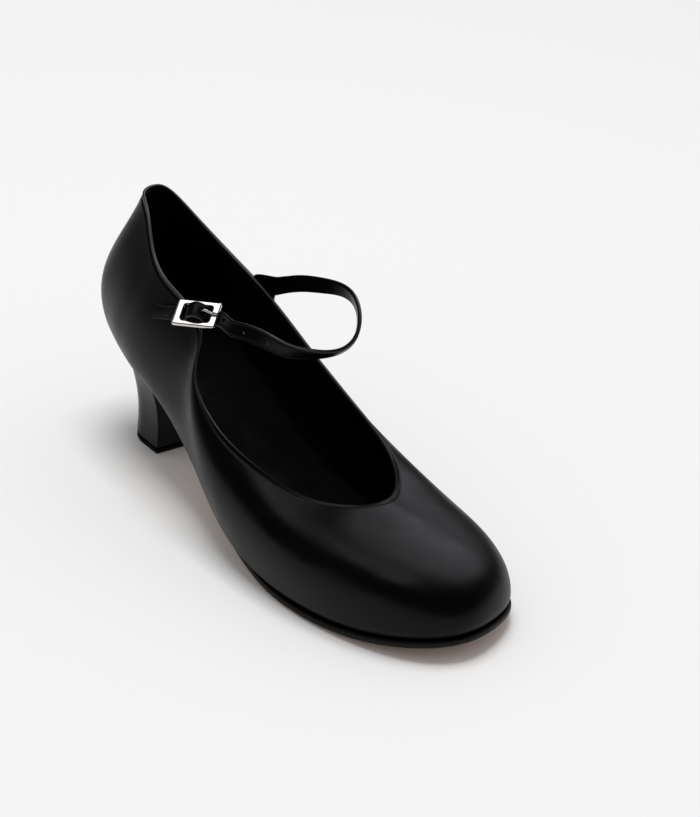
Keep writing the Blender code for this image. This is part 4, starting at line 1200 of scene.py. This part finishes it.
# Floor and light: a plain pale sheet in a white tent, with a softbox that shapes the floor's
# shadow and two that only light the shoe
# Matt paper
WHITE, tree, shader, place = material("pale_floor", 0.9, Specular_IOR_Level=0.1)
shader.inputs["Base Color"].default_value = srgb("#f2f2f2")
mesh = bpy.data.meshes.new("floor")
mesh.from_pydata([(-0.7, -0.6, 0), (0.9, -0.6, 0), (0.9, 1.0, 0), (-0.7, 1.0, 0)], [], [(0, 1, 2, 3)])
mesh.materials.append(WHITE)
floor = bpy.data.objects.new("floor", mesh)
bpy.context.scene.collection.objects.link(floor)
floor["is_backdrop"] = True

TENT, ROOM, BACKDROP = 0.50, 0.02, 0.87
world = bpy.data.worlds.new("studio")
world.use_nodes = True
sky = world.node_tree.nodes["Background"]
sky.inputs["Color"].default_value = (1, 1, 1, 1)
# Matt surfaces see an even white tent, polished ones the dim room between the softboxes, and
# past the floor's edge the camera sees a backdrop as pale as the floor
ray = add(world.node_tree, "ShaderNodeLightPath")
tent = add(world.node_tree, "ShaderNodeMath", {"operation": "MULTIPLY_ADD"}, i0=(ray, "Is Diffuse Ray"),
           i1=TENT - ROOM, i2=ROOM)
total = add(world.node_tree, "ShaderNodeMath", {"operation": "MULTIPLY_ADD"}, i0=(ray, "Is Camera Ray"),
            i1=BACKDROP, i2=(tent, "Value"))
world.node_tree.links.new(total.outputs["Value"], sky.inputs["Strength"])
bpy.context.scene.world = world
bpy.context.scene.view_settings.view_transform = "Standard"

MIDDLE = np.array([0.02758, -0.09552, 0.04842])
Light = namedtuple("Light", "name azimuth elevation distance size power")
# Azimuth 0 is in front of the toe and 90 on the medial side; distances are in metres
LIGHTS = [
    Light("floor softbox",    180, 86, 2.5, 1.2, 38.0),
    Light("overhead softbox", -147, 76, 1.5, 0.9, 5.5),
    Light("rear softbox",     114, 45, 1.5, 1.1, 10.0),
]


def look_from(azimuth, elevation, distance, roll=0.0):
    """A matrix at a distance from the shoe's middle, looking at it, rolled about its view."""
    az, el, turn = radians(azimuth), radians(elevation), radians(roll)
    back = np.array([sin(az) * cos(el), -cos(az) * cos(el), sin(el)])
    right = np.cross(-back, (0.0, 0.0, 1.0))
    right /= np.linalg.norm(right)
    up = np.cross(right, -back)
    right, up = right * cos(turn) + up * sin(turn), up * cos(turn) - right * sin(turn)
    rows = np.column_stack([right, up, back, MIDDLE + back * distance])
    return Matrix([*rows.tolist(), [0, 0, 0, 1]])


lit, ground = bpy.data.collections.new("shoe"), bpy.data.collections.new("ground")
ground.objects.link(floor)
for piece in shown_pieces():
    lit.objects.link(piece)
for light in LIGHTS:
    data = bpy.data.lights.new(light.name, "AREA")
    data.size, data.energy = light.size, light.power
    lamp = bpy.data.objects.new(light.name, data)
    lamp.matrix_world = look_from(light.azimuth, light.elevation, light.distance)
    bpy.context.scene.collection.objects.link(lamp)
    # The floor's softbox shapes its shadow, and the other two only light the shoe
    floor_light = light.name.startswith("floor")
    lamp.light_linking.receiver_collection = ground if floor_light else lit
    data.color = (1, 1, 1) if floor_light else (0.97, 0.94, 1.0)

data = bpy.data.cameras.new("camera")
data.lens, data.sensor_width = 116.6, 36.0
camera = bpy.data.objects.new("camera", data)
camera.matrix_world = look_from(-36.6, 27.74, 1.08388, 2.9)
bpy.context.scene.collection.objects.link(camera)
bpy.context.scene.camera = camera
